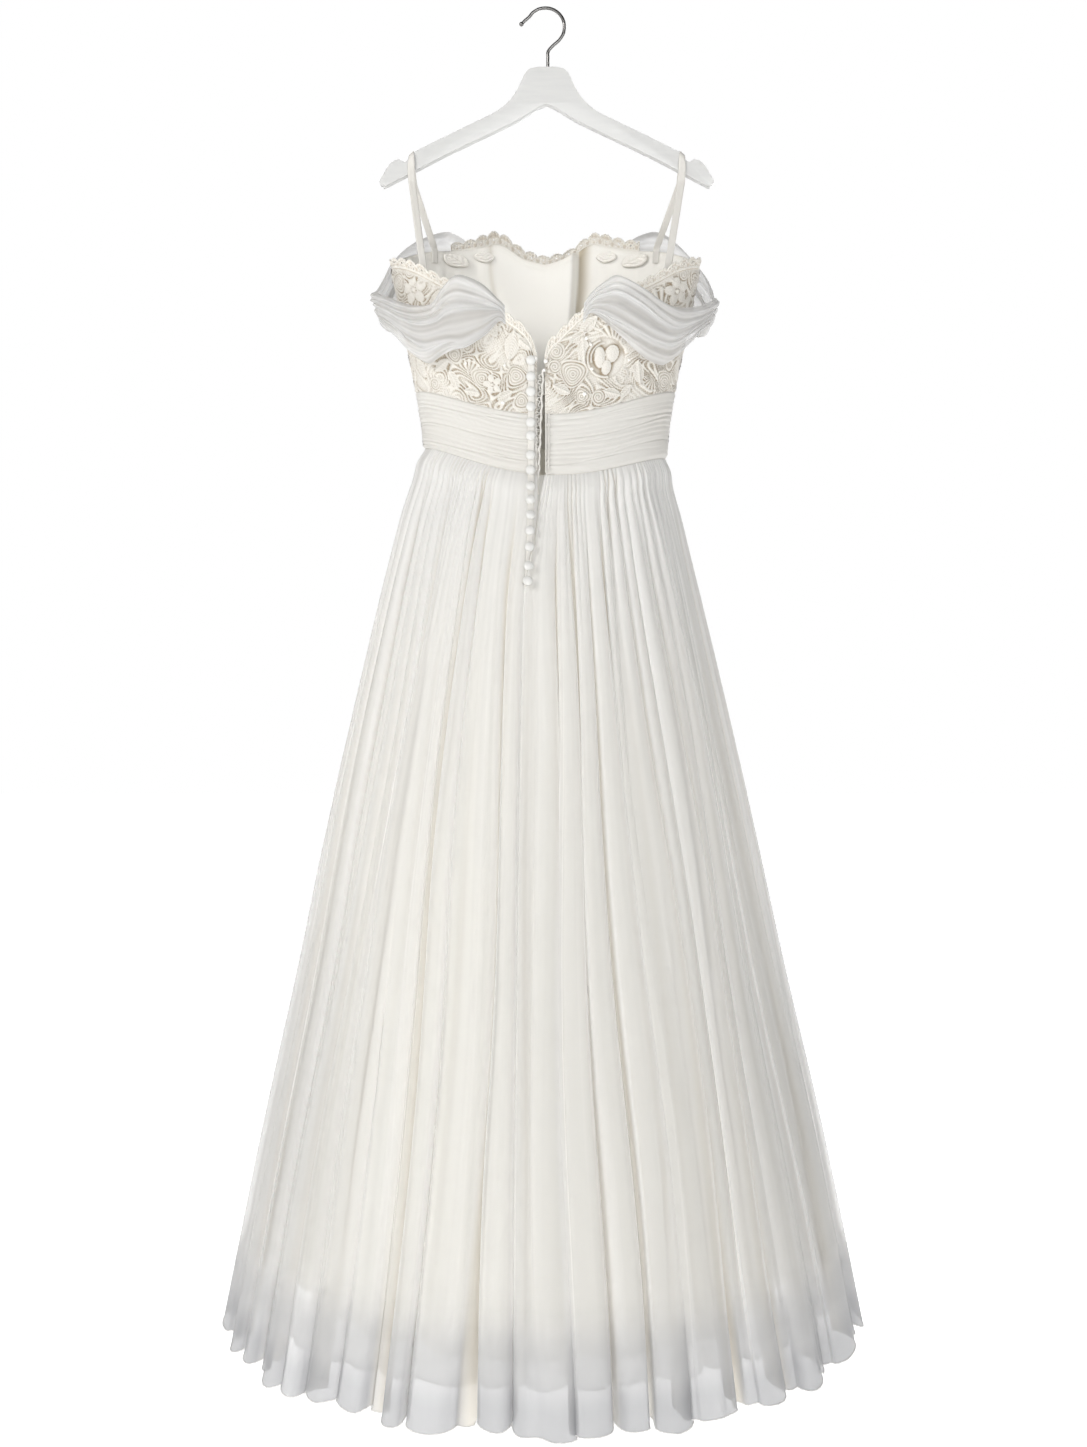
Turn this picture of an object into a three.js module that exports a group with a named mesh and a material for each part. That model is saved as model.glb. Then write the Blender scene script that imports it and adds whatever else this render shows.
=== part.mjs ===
// Wedding dress hung by its straps from a wooden hanger, millimetres, +Z up.
// The origin is the inner top of the hook's wire, where a rail carries it.
// The dress's back, with its buttons, faces -Y, and its front faces +Y.
// An angle on the garment is 0 at the centre back, 90 at the +X side and 180 at the centre front.
import * as THREE from 'three';

const DEG = Math.PI / 180;
const SEAM = 0.3;

// Cloth walls
const SATIN_WALL = 1.8;
const LACE_WALL = 1.3;
const LINING_WALL = 1.0;
const LINING_GAP = 0.7;
const LINING_CLEAR = 1.3;
const PETAL_CLEAR = 0.75;
const BAND_WALL = 1.6;
const TULLE_WALL = 1.6;
const LACE_RISE = 1.5;
const PLEAT_RISE = 1.5;

// Bodice and waistband as horizontal sections: half width, depth to the back and to the front
const BODY = [
  { z: -230, half: 188, back: 86, front: 93 },
  { z: -299, half: 180, back: 84, front: 99 },
  { z: -335, half: 172, back: 80, front: 98 },
  { z: -375, half: 164, back: 76, front: 88 },
  { z: -410, half: 157, back: 72, front: 77 },
  { z: -449, half: 149, back: 68, front: 67 },
  { z: -492, half: 142, back: 66, front: 62 },
  { z: -560, half: 138, back: 65, front: 62 },
];
const CUP = { side: 34, spread: 20, z: -330, height: 44, rise: 15 };

// Top edge of the satin from the centre front to each side, and of the back from the side inward
const FRONT_NECK = [
  { from: 0, z: -278 }, { from: 8, z: -271 }, { from: 17.5, z: -254 }, { from: 25, z: -258 },
  { from: 34, z: -263 }, { from: 48, z: -268 }, { from: 70, z: -284 }, { from: 90, z: -300 },
];
const BACK_NECK_LEFT = [
  { x: -178, z: -300 }, { x: -165, z: -304 }, { x: -142, z: -315 }, { x: -120, z: -331 },
  { x: -84, z: -354 }, { x: -48, z: -377 }, { x: -30, z: -390 }, { x: -20, z: -401 }, { x: -9.6, z: -428 },
];
const BACK_NECK_RIGHT = [
  { x: -0.7, z: -426 }, { x: 3, z: -415 }, { x: 15, z: -402 }, { x: 28, z: -389 }, { x: 46, z: -372 },
  { x: 84, z: -352 }, { x: 120, z: -331 }, { x: 142, z: -315 }, { x: 165, z: -304 }, { x: 178, z: -300 },
];

// Waistband edges: level at the sides, and how far they fall at the centre back or rise in front
const BAND_TOP = { side: -448.5, skew: 0, backFall: 35, frontRise: 8 };
const BAND_BOTTOM = { side: -520.5, skew: 6, backFall: 31, frontRise: 14 };
const BACK_FALL_POWER = 2.6;

// The back opening: edges of the left and right halves, and the last height at which it gapes
const OPENING_LEFT_X = -9.6;
const OPENING_RIGHT_X = -0.7;
const OPENING_FOOT = -600;
const OVERLAP = [
  { z: -549, x: -9.6 }, { z: -600, x: -10.5 }, { z: -685, x: -21 }, { z: -760, x: -24 }, { z: -1560, x: -32 },
];

// Skirt by distance below the waist seam: outline half width, back and front depth, centre x
const SKIRT_LENGTH = 1008;
const SKIRT = [
  { down: 0, half: 139.5, back: 65, front: 62, centre: 0 },
  { down: 19, half: 147, back: 73, front: 69, centre: -2 },
  { down: 65, half: 162.5, back: 90, front: 84, centre: -4 },
  { down: 124, half: 178, back: 110, front: 102, centre: -5 },
  { down: 259, half: 210.5, back: 151, front: 140, centre: -5 },
  { down: 411, half: 245, back: 193, front: 178, centre: -5 },
  { down: 598, half: 284, back: 240, front: 223, centre: -4 },
  { down: 786, half: 326.5, back: 286, front: 268, centre: -3 },
  { down: 1008, half: 371.5, back: 340, front: 320, centre: -2.5 },
];
const HEM = { side: -1522, backFall: 31, frontRise: 6 };
const SKIRT_ROWS = [0, 22, 62, 135, 265, 450, 710, 1008];

// Valleys between the skirt's flutes round the whole hem: angle and depth at the hem
const VALLEYS = [
  { at: -5.6, depth: 17 }, { at: 4.5, depth: 12 }, { at: 12, depth: 18 }, { at: 18, depth: 14 },
  { at: 24.5, depth: 18 }, { at: 35, depth: 21 }, { at: 46, depth: 19 }, { at: 60, depth: 24 },
  { at: 76, depth: 18 }, { at: 93, depth: 22 }, { at: 108, depth: 20 }, { at: 121, depth: 23 },
  { at: 132, depth: 18 }, { at: 146, depth: 22 }, { at: 157, depth: 17 }, { at: 167, depth: 20 },
  { at: 181, depth: 16 }, { at: 192, depth: 21 }, { at: 205, depth: 19 }, { at: 215, depth: 22 },
  { at: 228, depth: 20 }, { at: 243, depth: 23 }, { at: 256, depth: 19 }, { at: 270, depth: 21 },
  { at: 284, depth: 17 }, { at: 299, depth: 24 }, { at: 316, depth: 22 }, { at: 332, depth: 19 },
  { at: 336.5, depth: 14 }, { at: 347.7, depth: 18 }, { at: 354.4, depth: 17 },
];
const FLUTE_STEPS = [-1, -0.62, -0.26, 0.14, 0.52];
const FLUTE_POWER = 2.3;
const GATHER_DEPTH = 2.6;
const GATHER_FADE = 150;

// Underskirt and lining: shortfall at the hem, room inside the layer outside them, their own waves
const UNDERSKIRT = { shorter: 45, waistIn: 5.9, hemIn: 33, wave: 7, columns: 62, rows: [0, 130, 520, 1008] };
const LINING = { shorter: 66, waistIn: 7.9, hemIn: 98, wave: 5, columns: 42, rows: [0, 130, 520, 1008] };

// Off-shoulder swags: stations by garment angle, clearance from the bodice, top and bottom edge
const LEFT_SWAG = [
  { angle: -16, out: 1.6, top: -361, bottom: -382 }, { angle: -18.5, out: 7, top: -354, bottom: -379 },
  { angle: -24.5, out: 14, top: -338, bottom: -395 }, { angle: -33, out: 20, top: -329, bottom: -409 },
  { angle: -39.3, out: 22, top: -341, bottom: -411 }, { angle: -44.5, out: 24, top: -357, bottom: -415 },
  { angle: -53, out: 26, top: -359, bottom: -423 }, { angle: -61.5, out: 27, top: -354, bottom: -413 },
  { angle: -72.5, out: 27, top: -344, bottom: -389 }, { angle: -90, out: 27, top: -331, bottom: -368 },
  { angle: -104, out: 31, top: -319, bottom: -372 }, { angle: -113, out: 33, top: -299, bottom: -362 },
  { angle: -120, out: 34, top: -274, bottom: -350 }, { angle: -130, out: 34, top: -252, bottom: -336 },
  { angle: -142, out: 31, top: -237, bottom: -318 }, { angle: -147.5, out: 22, top: -241, bottom: -300 },
  { angle: -151, out: 1.75, top: -255, bottom: -276 },
];
const RIGHT_SWAG = [
  { angle: 15, out: 1.6, top: -359, bottom: -380 }, { angle: 18, out: 7, top: -346, bottom: -370 },
  { angle: 22.3, out: 13, top: -336, bottom: -376 }, { angle: 26, out: 17, top: -330, bottom: -386 },
  { angle: 30.3, out: 20, top: -333, bottom: -396 }, { angle: 38, out: 23, top: -343, bottom: -411 },
  { angle: 46.5, out: 25, top: -355, bottom: -422 }, { angle: 55.5, out: 27, top: -361, bottom: -424 },
  { angle: 65.5, out: 28, top: -358, bottom: -403 }, { angle: 76, out: 27, top: -350, bottom: -383 },
  { angle: 90, out: 27, top: -337, bottom: -370 }, { angle: 102, out: 31, top: -331, bottom: -378 },
  { angle: 109.5, out: 34, top: -311, bottom: -368 }, { angle: 116, out: 34, top: -291, bottom: -356 },
  { angle: 129.5, out: 34, top: -254, bottom: -336 }, { angle: 138, out: 33, top: -238, bottom: -320 },
  { angle: 145, out: 25, top: -241, bottom: -302 }, { angle: 150.5, out: 1.75, top: -257, bottom: -274 },
];
const SWAG_FOLDS = [0, -3.5, 2.5, 5, 1.5, 6, 3, 5.5, 0.5, -4];
const SWAG_STATIONS = 22;
const SWAG_SEAT = 1.6;

// Straps: width, thickness and where each crosses the hanger
const STRAP = { width: 8.5, thick: 1.4, nearAngle: 53, farAngle: 133, crossing: 158, tuck: 14 };

// Hanger, measured from its own middle, and hook
const HANGER = { middle: 1.5, thick: 13, edge: 1.1, apex: -111.5, peak: -67.2 };
const HANGER_SIDE = [
  { x: 15, z: -69.3 }, { x: 24.3, z: -74.6 }, { x: 34.9, z: -95.7 }, { x: 45.4, z: -109.7 },
  { x: 60.6, z: -121.4 }, { x: 78.2, z: -130.2 }, { x: 153, z: -167 }, { x: 162, z: -177 },
  { x: 167, z: -179.4 }, { x: 172.9, z: -176.4 }, { x: 182.3, z: -181.1 }, { x: 190.5, z: -193.4 },
  { x: 195.2, z: -202.8 }, { x: 190.5, z: -207.3 },
];
const HOOK = { wire: 3.8, ring: 22.3, centre: -20.1, stemX: 2.9, sides: 7, steps: 26 };

// Buttons down the back: radius, dome height and the height of each centre
const BUTTON = { radius: 5.6, dome: 4.4, sides: 8 };
const BUTTON_HEIGHTS = [
  -423, -441, -458, -475, -493, -508, -530, -547, -566, -582, -600, -618, -637, -659, -676,
];
const PLACKET = { left: -25, right: -10.2, top: -424, bottom: -684, thick: 0.9 };
const BUTTON_LINE = [{ z: -423, x: -16.4 }, { z: -560, x: -16.8 }, { z: -620, x: -17.5 }, { z: -680, x: -20 }];
const LOOPS = { root: -0.9, reach: 5.4, top: -438, bottom: -549, count: 11, thick: 1.2 };

const COLOURS = {
  satin: { color: 0xf3f0e8, roughness: 0.38, metalness: 0 },
  lace: { color: 0xece7dc, roughness: 0.7, metalness: 0 },
  chiffon: { color: 0xefece4, roughness: 0.6, metalness: 0 },
  tulle: { color: 0xe6e5e3, roughness: 0.75, metalness: 0 },
  wood: { color: 0xe9e9e6, roughness: 0.4, metalness: 0 },
  steel: { color: 0x6f6d6c, roughness: 0.25, metalness: 1 },
};

// Smooth value of one column of a table whose rows are ordered by another column
function tableValue(rows, key, column, at) {
  const sign = rows[rows.length - 1][key] > rows[0][key] ? 1 : -1;
  if ((at - rows[0][key]) * sign <= 0) return rows[0][column];
  const last = rows.length - 1;
  if ((at - rows[last][key]) * sign >= 0) return rows[last][column];
  let i = 0;
  while ((at - rows[i + 1][key]) * sign > 0) i += 1;
  const slope = (a, b) => (rows[b][column] - rows[a][column]) / (rows[b][key] - rows[a][key]);
  const here = slope(i, i + 1);
  const before = i > 0 ? (slope(i - 1, i) + here) / 2 : here;
  const after = i + 1 < last ? (here + slope(i + 1, i + 2)) / 2 : here;
  const span = rows[i + 1][key] - rows[i][key];
  const t = (at - rows[i][key]) / span;
  const rise = rows[i][column] * (1 + 2 * t) * (1 - t) ** 2 + before * span * t * (1 - t) ** 2;
  return rise + rows[i + 1][column] * t * t * (3 - 2 * t) - after * span * t * t * (1 - t);
}

// Closed wall between an outer and an inner grid of points; rows run down, columns anticlockwise.
// The inner grid may have fewer rows. Cells for which isHole is true are left open.
function wallSolid(outer, inner, { ring = false, isHole = () => false } = {}) {
  const points = [];
  const faces = [];
  const keep = (grid) => grid.map((row) => row.map((p) => points.push(p) - 1));
  const P = keep(outer);
  const Q = keep(inner);
  const count = P[0].length;
  const cells = ring ? count : count - 1;
  const solid = (r, c) => {
    if (r < 0 || r >= P.length - 1) return false;
    if (!ring && (c < 0 || c >= cells)) return false;
    return !isHole(r, (c + cells) % cells);
  };
  for (let c = 0; c < cells; c += 1) {
    const d = (c + 1) % count;
    for (let r = 0; r < P.length - 1; r += 1) {
      if (isHole(r, c)) continue;
      faces.push(P[r][c], P[r + 1][c], P[r + 1][d], P[r][c], P[r + 1][d], P[r][d]);
      if (!solid(r - 1, c)) faces.push(P[r][c], P[r][d], Q[r][d], P[r][c], Q[r][d], Q[r][c]);
      if (P.length === Q.length) {
        const e = r + 1;
        if (!solid(e, c)) faces.push(P[e][d], P[e][c], Q[e][c], P[e][d], Q[e][c], Q[e][d]);
        if (!solid(r, c - 1)) faces.push(P[e][c], P[r][c], Q[r][c], P[e][c], Q[r][c], Q[e][c]);
        if (!solid(r, c + 1)) faces.push(P[r][d], P[e][d], Q[e][d], P[r][d], Q[e][d], Q[r][d]);
      }
    }
    for (let r = 0; r < Q.length - 1; r += 1) {
      if (isHole(r, c)) continue;
      faces.push(Q[r][c], Q[r + 1][d], Q[r + 1][c], Q[r][c], Q[r][d], Q[r + 1][d]);
    }
    if (P.length !== Q.length) {
      const e = P.length - 1;
      const f = Q.length - 1;
      faces.push(P[e][d], P[e][c], Q[f][c], P[e][d], Q[f][c], Q[f][d]);
    }
  }
  if (!ring && P.length !== Q.length) {
    closeEnd(faces, P.map((row) => row[0]), Q.map((row) => row[0]), true);
    closeEnd(faces, P.map((row) => row[count - 1]), Q.map((row) => row[count - 1]), false);
  }
  return facesToGeometry(points, faces);
}

// Joins the outer and inner chains of a wall's end where they have different numbers of points
function closeEnd(faces, outer, inner, first) {
  let i = 0;
  let j = 0;
  while (i < outer.length - 1 || j < inner.length - 1) {
    const nextOuter = (i + 1) / (outer.length - 1);
    const nextInner = (j + 1) / (inner.length - 1);
    if (j === inner.length - 1 || (i < outer.length - 1 && nextOuter <= nextInner)) {
      if (first) faces.push(outer[i + 1], outer[i], inner[j]);
      else faces.push(outer[i], outer[i + 1], inner[j]);
      i += 1;
    } else {
      if (first) faces.push(outer[i], inner[j], inner[j + 1]);
      else faces.push(outer[i], inner[j + 1], inner[j]);
      j += 1;
    }
  }
}

// Faces point outward whichever way a grid's rows and columns run
function facesToGeometry(points, faces) {
  const geometry = new THREE.BufferGeometry();
  const flat = points.flatMap((p) => [p.x, p.y, p.z]);
  const volume = new THREE.Vector3();
  let sum = 0;
  for (let i = 0; i < faces.length; i += 3) {
    volume.crossVectors(points[faces[i]], points[faces[i + 1]]);
    sum += volume.dot(points[faces[i + 2]]);
  }
  geometry.setAttribute('position', new THREE.Float32BufferAttribute(flat, 3));
  geometry.setIndex(sum > 0 ? faces : faces.reverse());
  geometry.computeVertexNormals();
  return geometry;
}

// A grid of points from two lists of parameters
function grid(rows, columns, pointAt) {
  return rows.map((r) => columns.map((c) => pointAt(r, c)));
}

function steps(count, from = 0, to = 1) {
  return Array.from({ length: count + 1 }, (_, i) => from + (to - from) * (i / count));
}

// Garment form

function cupRise(angle, z) {
  const height = Math.exp(-(((z - CUP.z) / CUP.height) ** 2));
  const cup = (side) => Math.exp(-(((angle - side) / CUP.spread) ** 2));
  return CUP.rise * height * (cup(180 - CUP.side) + cup(180 + CUP.side));
}

// Point of the bodice at an angle and height, moved outward by a distance
function bodyPoint(angleIn, z, out = 0) {
  const angle = (angleIn + 360) % 360;
  const half = tableValue(BODY, 'z', 'half', z);
  const across = Math.sin(angle * DEG);
  const along = Math.cos(angle * DEG);
  const depth = tableValue(BODY, 'z', along > 0 ? 'back' : 'front', z);
  const normal = new THREE.Vector2(across / half, -along / depth).normalize();
  const move = out + cupRise(angle, z);
  return new THREE.Vector3(half * across + normal.x * move, -depth * along + normal.y * move, z);
}

function angleOfX(x, z) {
  return Math.asin(x / tableValue(BODY, 'z', 'half', z)) / DEG;
}

function edgeHeight(edge, angle) {
  const across = Math.sin(angle * DEG);
  const along = Math.cos(angle * DEG);
  const back = edge.backFall * Math.max(0, along) ** BACK_FALL_POWER;
  const front = edge.frontRise * Math.max(0, -along) ** 2;
  return edge.side - edge.skew * across - back + front;
}

// Raised lace motifs: staggered rounds with five petals, on an arc-length and height lattice
const MOTIF = { pitch: 37, radius: 20, arc: 132, petals: 5 };

function laceRise(angle, z) {
  const along = angle * DEG * MOTIF.arc;
  let rise = 0;
  for (let row = -14; row <= -6; row += 1) {
    const middle = row * MOTIF.pitch * 0.87;
    const shift = row % 2 === 0 ? 0 : MOTIF.pitch / 2;
    const nearest = Math.round((along - shift) / MOTIF.pitch) * MOTIF.pitch + shift;
    const reach = Math.hypot(along - nearest, z - middle) / MOTIF.radius;
    const turn = Math.atan2(z - middle, along - nearest);
    const petal = 0.8 + 0.2 * Math.cos(MOTIF.petals * turn + row);
    rise = Math.max(rise, Math.max(0, 1 - (reach / petal) ** 2));
  }
  return LACE_RISE * rise;
}

// Bodice panels

function bodicePanel(angles, topAt, outerRows) {
  const bottomAt = (angle) => edgeHeight(BAND_TOP, angle) + SEAM;
  const height = (v, angle) => topAt(angle) + (bottomAt(angle) - topAt(angle)) * v;
  const innerRows = steps(outerRows / 2);
  const edges = (v) => Math.min(1, v * 6) * Math.min(1, (1 - v) * 8);
  const outer = grid(steps(outerRows), angles, (v, angle) => {
    const z = height(v, angle);
    return bodyPoint(angle, z, SATIN_WALL * 0.5 + laceRise(angle, z) * edges(v));
  });
  const inner = grid(innerRows, angles, (v, angle) => bodyPoint(angle, height(v, angle), -SATIN_WALL * 0.5));
  return wallSolid(outer, inner);
}

const frontNeck = (angle) => tableValue(FRONT_NECK, 'from', 'z', Math.abs(angle - 180));
const leftNeck = (angle) => tableValue(BACK_NECK_LEFT, 'x', 'z', 166 * Math.sin(angle * DEG));
const rightNeck = (angle) => tableValue(BACK_NECK_RIGHT, 'x', 'z', 166 * Math.sin(angle * DEG));

const SIDE_GAP = 0.06;
const PRINCESS = 22;
const leftEdge = angleOfX(OPENING_LEFT_X, -440);
const rightEdge = angleOfX(OPENING_RIGHT_X, -440);
const EDGE_EASE = 1.25;
const BACK_COLUMNS = 18;
const LACE_REACH = 64;

function backAngles(edge, side, count) {
  return steps(count).map((w) => edge + (side - edge) * w ** EDGE_EASE);
}

function bodicePieces() {
  const rightBack = backAngles(rightEdge, 90 - SIDE_GAP, BACK_COLUMNS);
  const leftBack = backAngles(leftEdge, SIDE_GAP - 90, BACK_COLUMNS).reverse();
  const rightSide = steps(12, 90 + SIDE_GAP, 180 - PRINCESS - SIDE_GAP);
  const leftSide = steps(12, 180 + PRINCESS + SIDE_GAP, 270 - SIDE_GAP);
  const middle = steps(10, 180 - PRINCESS + SIDE_GAP, 180 + PRINCESS - SIDE_GAP);
  return [
    ['bodice_front', bodicePanel(middle, frontNeck, 12)],
    ['bodice_side_right', bodicePanel(rightSide, frontNeck, 12)],
    ['bodice_side_left', bodicePanel(leftSide, frontNeck, 12)],
    ['bodice_back_right', bodicePanel(rightBack, rightNeck, 10)],
    ['bodice_back_left', bodicePanel(leftBack, leftNeck, 10)],
  ];
}

// Satin lining that shows inside the front
function bodiceLining() {
  const out = -SATIN_WALL / 2 - LINING_GAP;
  const bottom = (angle) => edgeHeight(BAND_TOP, angle) + SEAM;
  const surface = (away) => grid(steps(6), steps(18, 100, 260), (v, angle) =>
    bodyPoint(angle, frontNeck(angle) + (bottom(angle) - frontNeck(angle)) * v, out - away));
  return wallSolid(surface(0), surface(LINING_WALL));
}

// Scalloped lace standing on a neckline; every fourth cell of its middle row is cut through
const SCALLOP = { tall: 11, dip: 4, pitch: 13, gap: 0.65 };

function laceEdge(angles, topAt, holeEvery) {
  const rise = (angle) => {
    const along = Math.abs(Math.sin((angle * DEG * MOTIF.arc * Math.PI) / SCALLOP.pitch));
    return SCALLOP.tall - SCALLOP.dip * (1 - along);
  };
  const heights = [1, 0.62, 0.2, 0];
  const place = (out) => grid(heights, angles, (h, angle) =>
    bodyPoint(angle, topAt(angle) + SCALLOP.gap + h * rise(angle), out));
  const isHole = (r, c) => holeEvery > 0 && r === 1 && c % holeEvery === 2;
  return wallSolid(place(LACE_WALL / 2), place(-LACE_WALL / 2), { isHole });
}

function laceEdges() {
  const frontAngles = steps(36, 180 - 36, 180 + 36);
  const rightAngles = backAngles(rightEdge, 90 - SIDE_GAP, BACK_COLUMNS).filter((angle) => angle < LACE_REACH);
  const leftAngles = backAngles(leftEdge, SIDE_GAP - 90, BACK_COLUMNS).reverse().filter((angle) => angle > -LACE_REACH);
  return [
    ['lace_edge_front', laceEdge(frontAngles, frontNeck, 4)],
    ['lace_edge_back_right', laceEdge(rightAngles, rightNeck, 5)],
    ['lace_edge_back_left', laceEdge(leftAngles, leftNeck, 5)],
  ];
}

// Ruched waistband: horizontal pleats that drift a little round the body
const BAND_PLEATS = 10;
const BAND_OUT = 1.4;

function waistbandPanel(angles) {
  const rows = steps(BAND_PLEATS * 2);
  const drift = (angle, v) => 0.014 * Math.sin(angle * DEG * 5 + v * 9) * Math.sin(v * Math.PI);
  const height = (v, angle) => {
    const top = edgeHeight(BAND_TOP, angle);
    return top + (edgeHeight(BAND_BOTTOM, angle) - top) * v;
  };
  const outer = rows.map((v, r) => angles.map((angle) => {
    const ridge = r % 2 === 1 ? PLEAT_RISE * (0.75 + 0.25 * Math.sin(angle * DEG * 3 + r)) : 0;
    return bodyPoint(angle, height(v + drift(angle, v), angle), BAND_OUT + BAND_WALL / 2 + ridge);
  }));
  const inner = grid(steps(2), angles, (v, angle) =>
    bodyPoint(angle, height(v, angle), BAND_OUT - BAND_WALL / 2));
  return wallSolid(outer, inner);
}

function waistbandPieces() {
  return [
    ['waistband_front', waistbandPanel(steps(15, 90 + SIDE_GAP, 270 - SIDE_GAP))],
    ['waistband_back_right', waistbandPanel(backAngles(rightEdge + 0.6, 90 - SIDE_GAP, 8))],
    ['waistband_back_left', waistbandPanel(backAngles(leftEdge - 0.3, -90 + SIDE_GAP, 8).reverse())],
  ];
}

// Skirt

function skirtOutline(angle, down, inward) {
  const across = Math.sin(angle * DEG);
  const along = Math.cos(angle * DEG);
  const half = tableValue(SKIRT, 'down', 'half', down) - inward;
  const depth = tableValue(SKIRT, 'down', along > 0 ? 'back' : 'front', down) - inward;
  const centre = tableValue(SKIRT, 'down', 'centre', down);
  return { x: centre + half * across, y: -depth * along };
}

function skirtHeight(angle, down, shorter) {
  const top = edgeHeight(BAND_BOTTOM, angle) - SEAM;
  const along = Math.cos(angle * DEG);
  const bottom = HEM.side - HEM.backFall * Math.max(0, along) + HEM.frontRise * Math.max(0, -along);
  return top + (bottom + shorter - top) * (down / SKIRT_LENGTH);
}

const fluteGrowth = (down) => Math.min(1, 0.12 + 0.88 * (down / SKIRT_LENGTH) ** 0.8) * Math.min(1, down / 120);
const gatherShare = (down) => 1 / (1 + (down / GATHER_FADE) ** 2);

// Columns round the skirt: each flute has five, set from its two valleys
function fluteColumns() {
  const columns = [];
  for (let i = 0; i < VALLEYS.length - 1; i += 1) {
    const left = VALLEYS[i];
    const right = VALLEYS[i + 1];
    for (const u of FLUTE_STEPS) {
      const angle = (left.at + right.at) / 2 + ((right.at - left.at) / 2) * u;
      const depth = (u < 0 ? left.depth : right.depth) * Math.abs(u) ** FLUTE_POWER;
      columns.push({ angle, depth, gather: columns.length % 2 });
    }
  }
  return columns;
}

// Angle of the seam that the right back panel's edge folds over
function overlapAngle(z, down, side) {
  const x = tableValue(OVERLAP, 'z', 'x', z);
  const gape = Math.max(0, (z - OPENING_FOOT) / (edgeHeight(BAND_BOTTOM, 0) - OPENING_FOOT));
  const right = (OPENING_RIGHT_X - OPENING_LEFT_X) * Math.min(1, gape) + SEAM;
  const half = tableValue(SKIRT, 'down', 'half', down);
  const centre = tableValue(SKIRT, 'down', 'centre', down);
  return Math.asin((x + (side > 0 ? right : 0) - centre) / half) / DEG;
}

function tullePanel(columns, edgeAngle) {
  const place = (inward) => SKIRT_ROWS.map((down) => columns.map((column, c) => {
    const angle = edgeAngle(column, c, down);
    const depth = column.depth * fluteGrowth(down) + GATHER_DEPTH * column.gather * gatherShare(down);
    const { x, y } = skirtOutline(angle, down, depth + inward);
    return new THREE.Vector3(x, y, skirtHeight(angle, down, 0));
  }));
  return wallSolid(place(0), place(TULLE_WALL));
}

function skirtPieces() {
  const columns = fluteColumns();
  const half = (down) => tableValue(SKIRT, 'down', 'half', down);
  const sideGap = (down) => SEAM / 2 / half(down) / DEG;
  const upTo = (limit) => columns.findIndex((column) => column.angle > limit);
  const right = columns.slice(0, upTo(93) + 1);
  const front = columns.slice(upTo(93), upTo(270) + 1);
  const left = [...columns.slice(upTo(270)), { ...columns[0], angle: columns[0].angle + 360 }];
  const trim = (list, first, last) => (column, c, down) => {
    if (c === 0) return first(column, down);
    if (c === list.length - 1) return last(column, down);
    return column.angle + first.shift(down) * (1 - c / list.length);
  };
  const plain = (sign) => Object.assign((column, down) => column.angle + sign * sideGap(down), { shift: () => 0 });
  const seamOffset = (side) => (down) => {
    const z = skirtHeight(0, down, 0);
    return overlapAngle(z, down, side) - VALLEYS[0].at;
  };
  const seamRight = Object.assign((column, down) => column.angle + seamOffset(1)(down), { shift: seamOffset(1) });
  const edgeRight = (column, c, down) => {
    if (c === right.length - 1) return column.angle - sideGap(down);
    return column.angle + seamRight.shift(down) * Math.max(0, 1 - c / 8);
  };
  const edgeLeft = (column, c, down) => {
    if (c === 0) return column.angle + sideGap(down);
    const fromEnd = left.length - 1 - c;
    return column.angle + seamOffset(-1)(down) * Math.max(0, 1 - fromEnd / 8);
  };
  return [
    ['skirt_front', tullePanel(front, trim(front, plain(1), plain(-1)))],
    ['skirt_back_right', tullePanel(right, edgeRight)],
    ['skirt_back_left', tullePanel(left, edgeLeft)],
  ];
}

// Closed inner layer of the skirt, shallower in its waves than the layer outside it
function innerLayer(layer, waves) {
  const angles = steps(layer.columns, 0, 360).slice(0, -1);
  const place = (inward) => grid(layer.rows, angles, (down, angle) => {
    const share = down / SKIRT_LENGTH;
    const wave = layer.wave * fluteGrowth(down) * (0.5 - 0.5 * Math.cos(waves * angle * DEG));
    const room = layer.waistIn + (layer.hemIn - layer.waistIn) * share ** 0.8;
    const { x, y } = skirtOutline(angle, down, room + wave + inward);
    return new THREE.Vector3(x, y, skirtHeight(angle, down, layer.shorter));
  });
  return wallSolid(place(0), place(LINING_WALL), { ring: true });
}

// Off-shoulder swag of tulle: a band with long folds, gathered at both ends on the bodice
function swag(stations) {
  const rows = stations.map((station, index) => ({ ...station, index }));
  const at = (s, column) => tableValue(rows, 'index', column, s * (rows.length - 1));
  const ends = (s) => Math.sin(Math.min(s, 1 - s) * 5 > 1.57 ? 1.57 : Math.min(s, 1 - s) * 5);
  const turn = stations[0].angle < 0 ? -1 : 1;
  const along = turn > 0 ? steps(SWAG_STATIONS) : steps(SWAG_STATIONS).reverse();
  const across = steps(SWAG_FOLDS.length - 1);
  const place = (inward) => across.map((v, f) => along.map((s) => {
    const z = at(s, 'top') + (at(s, 'bottom') - at(s, 'top')) * v;
    const fold = SWAG_FOLDS[f] * ends(s) * (0.8 + 0.2 * Math.sin(9 * s + 2 * f));
    return bodyPoint(at(s, 'angle'), z, Math.max(SWAG_SEAT, at(s, 'out') + fold) + TULLE_WALL - inward);
  }));
  return wallSolid(place(0), place(TULLE_WALL));
}

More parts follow.
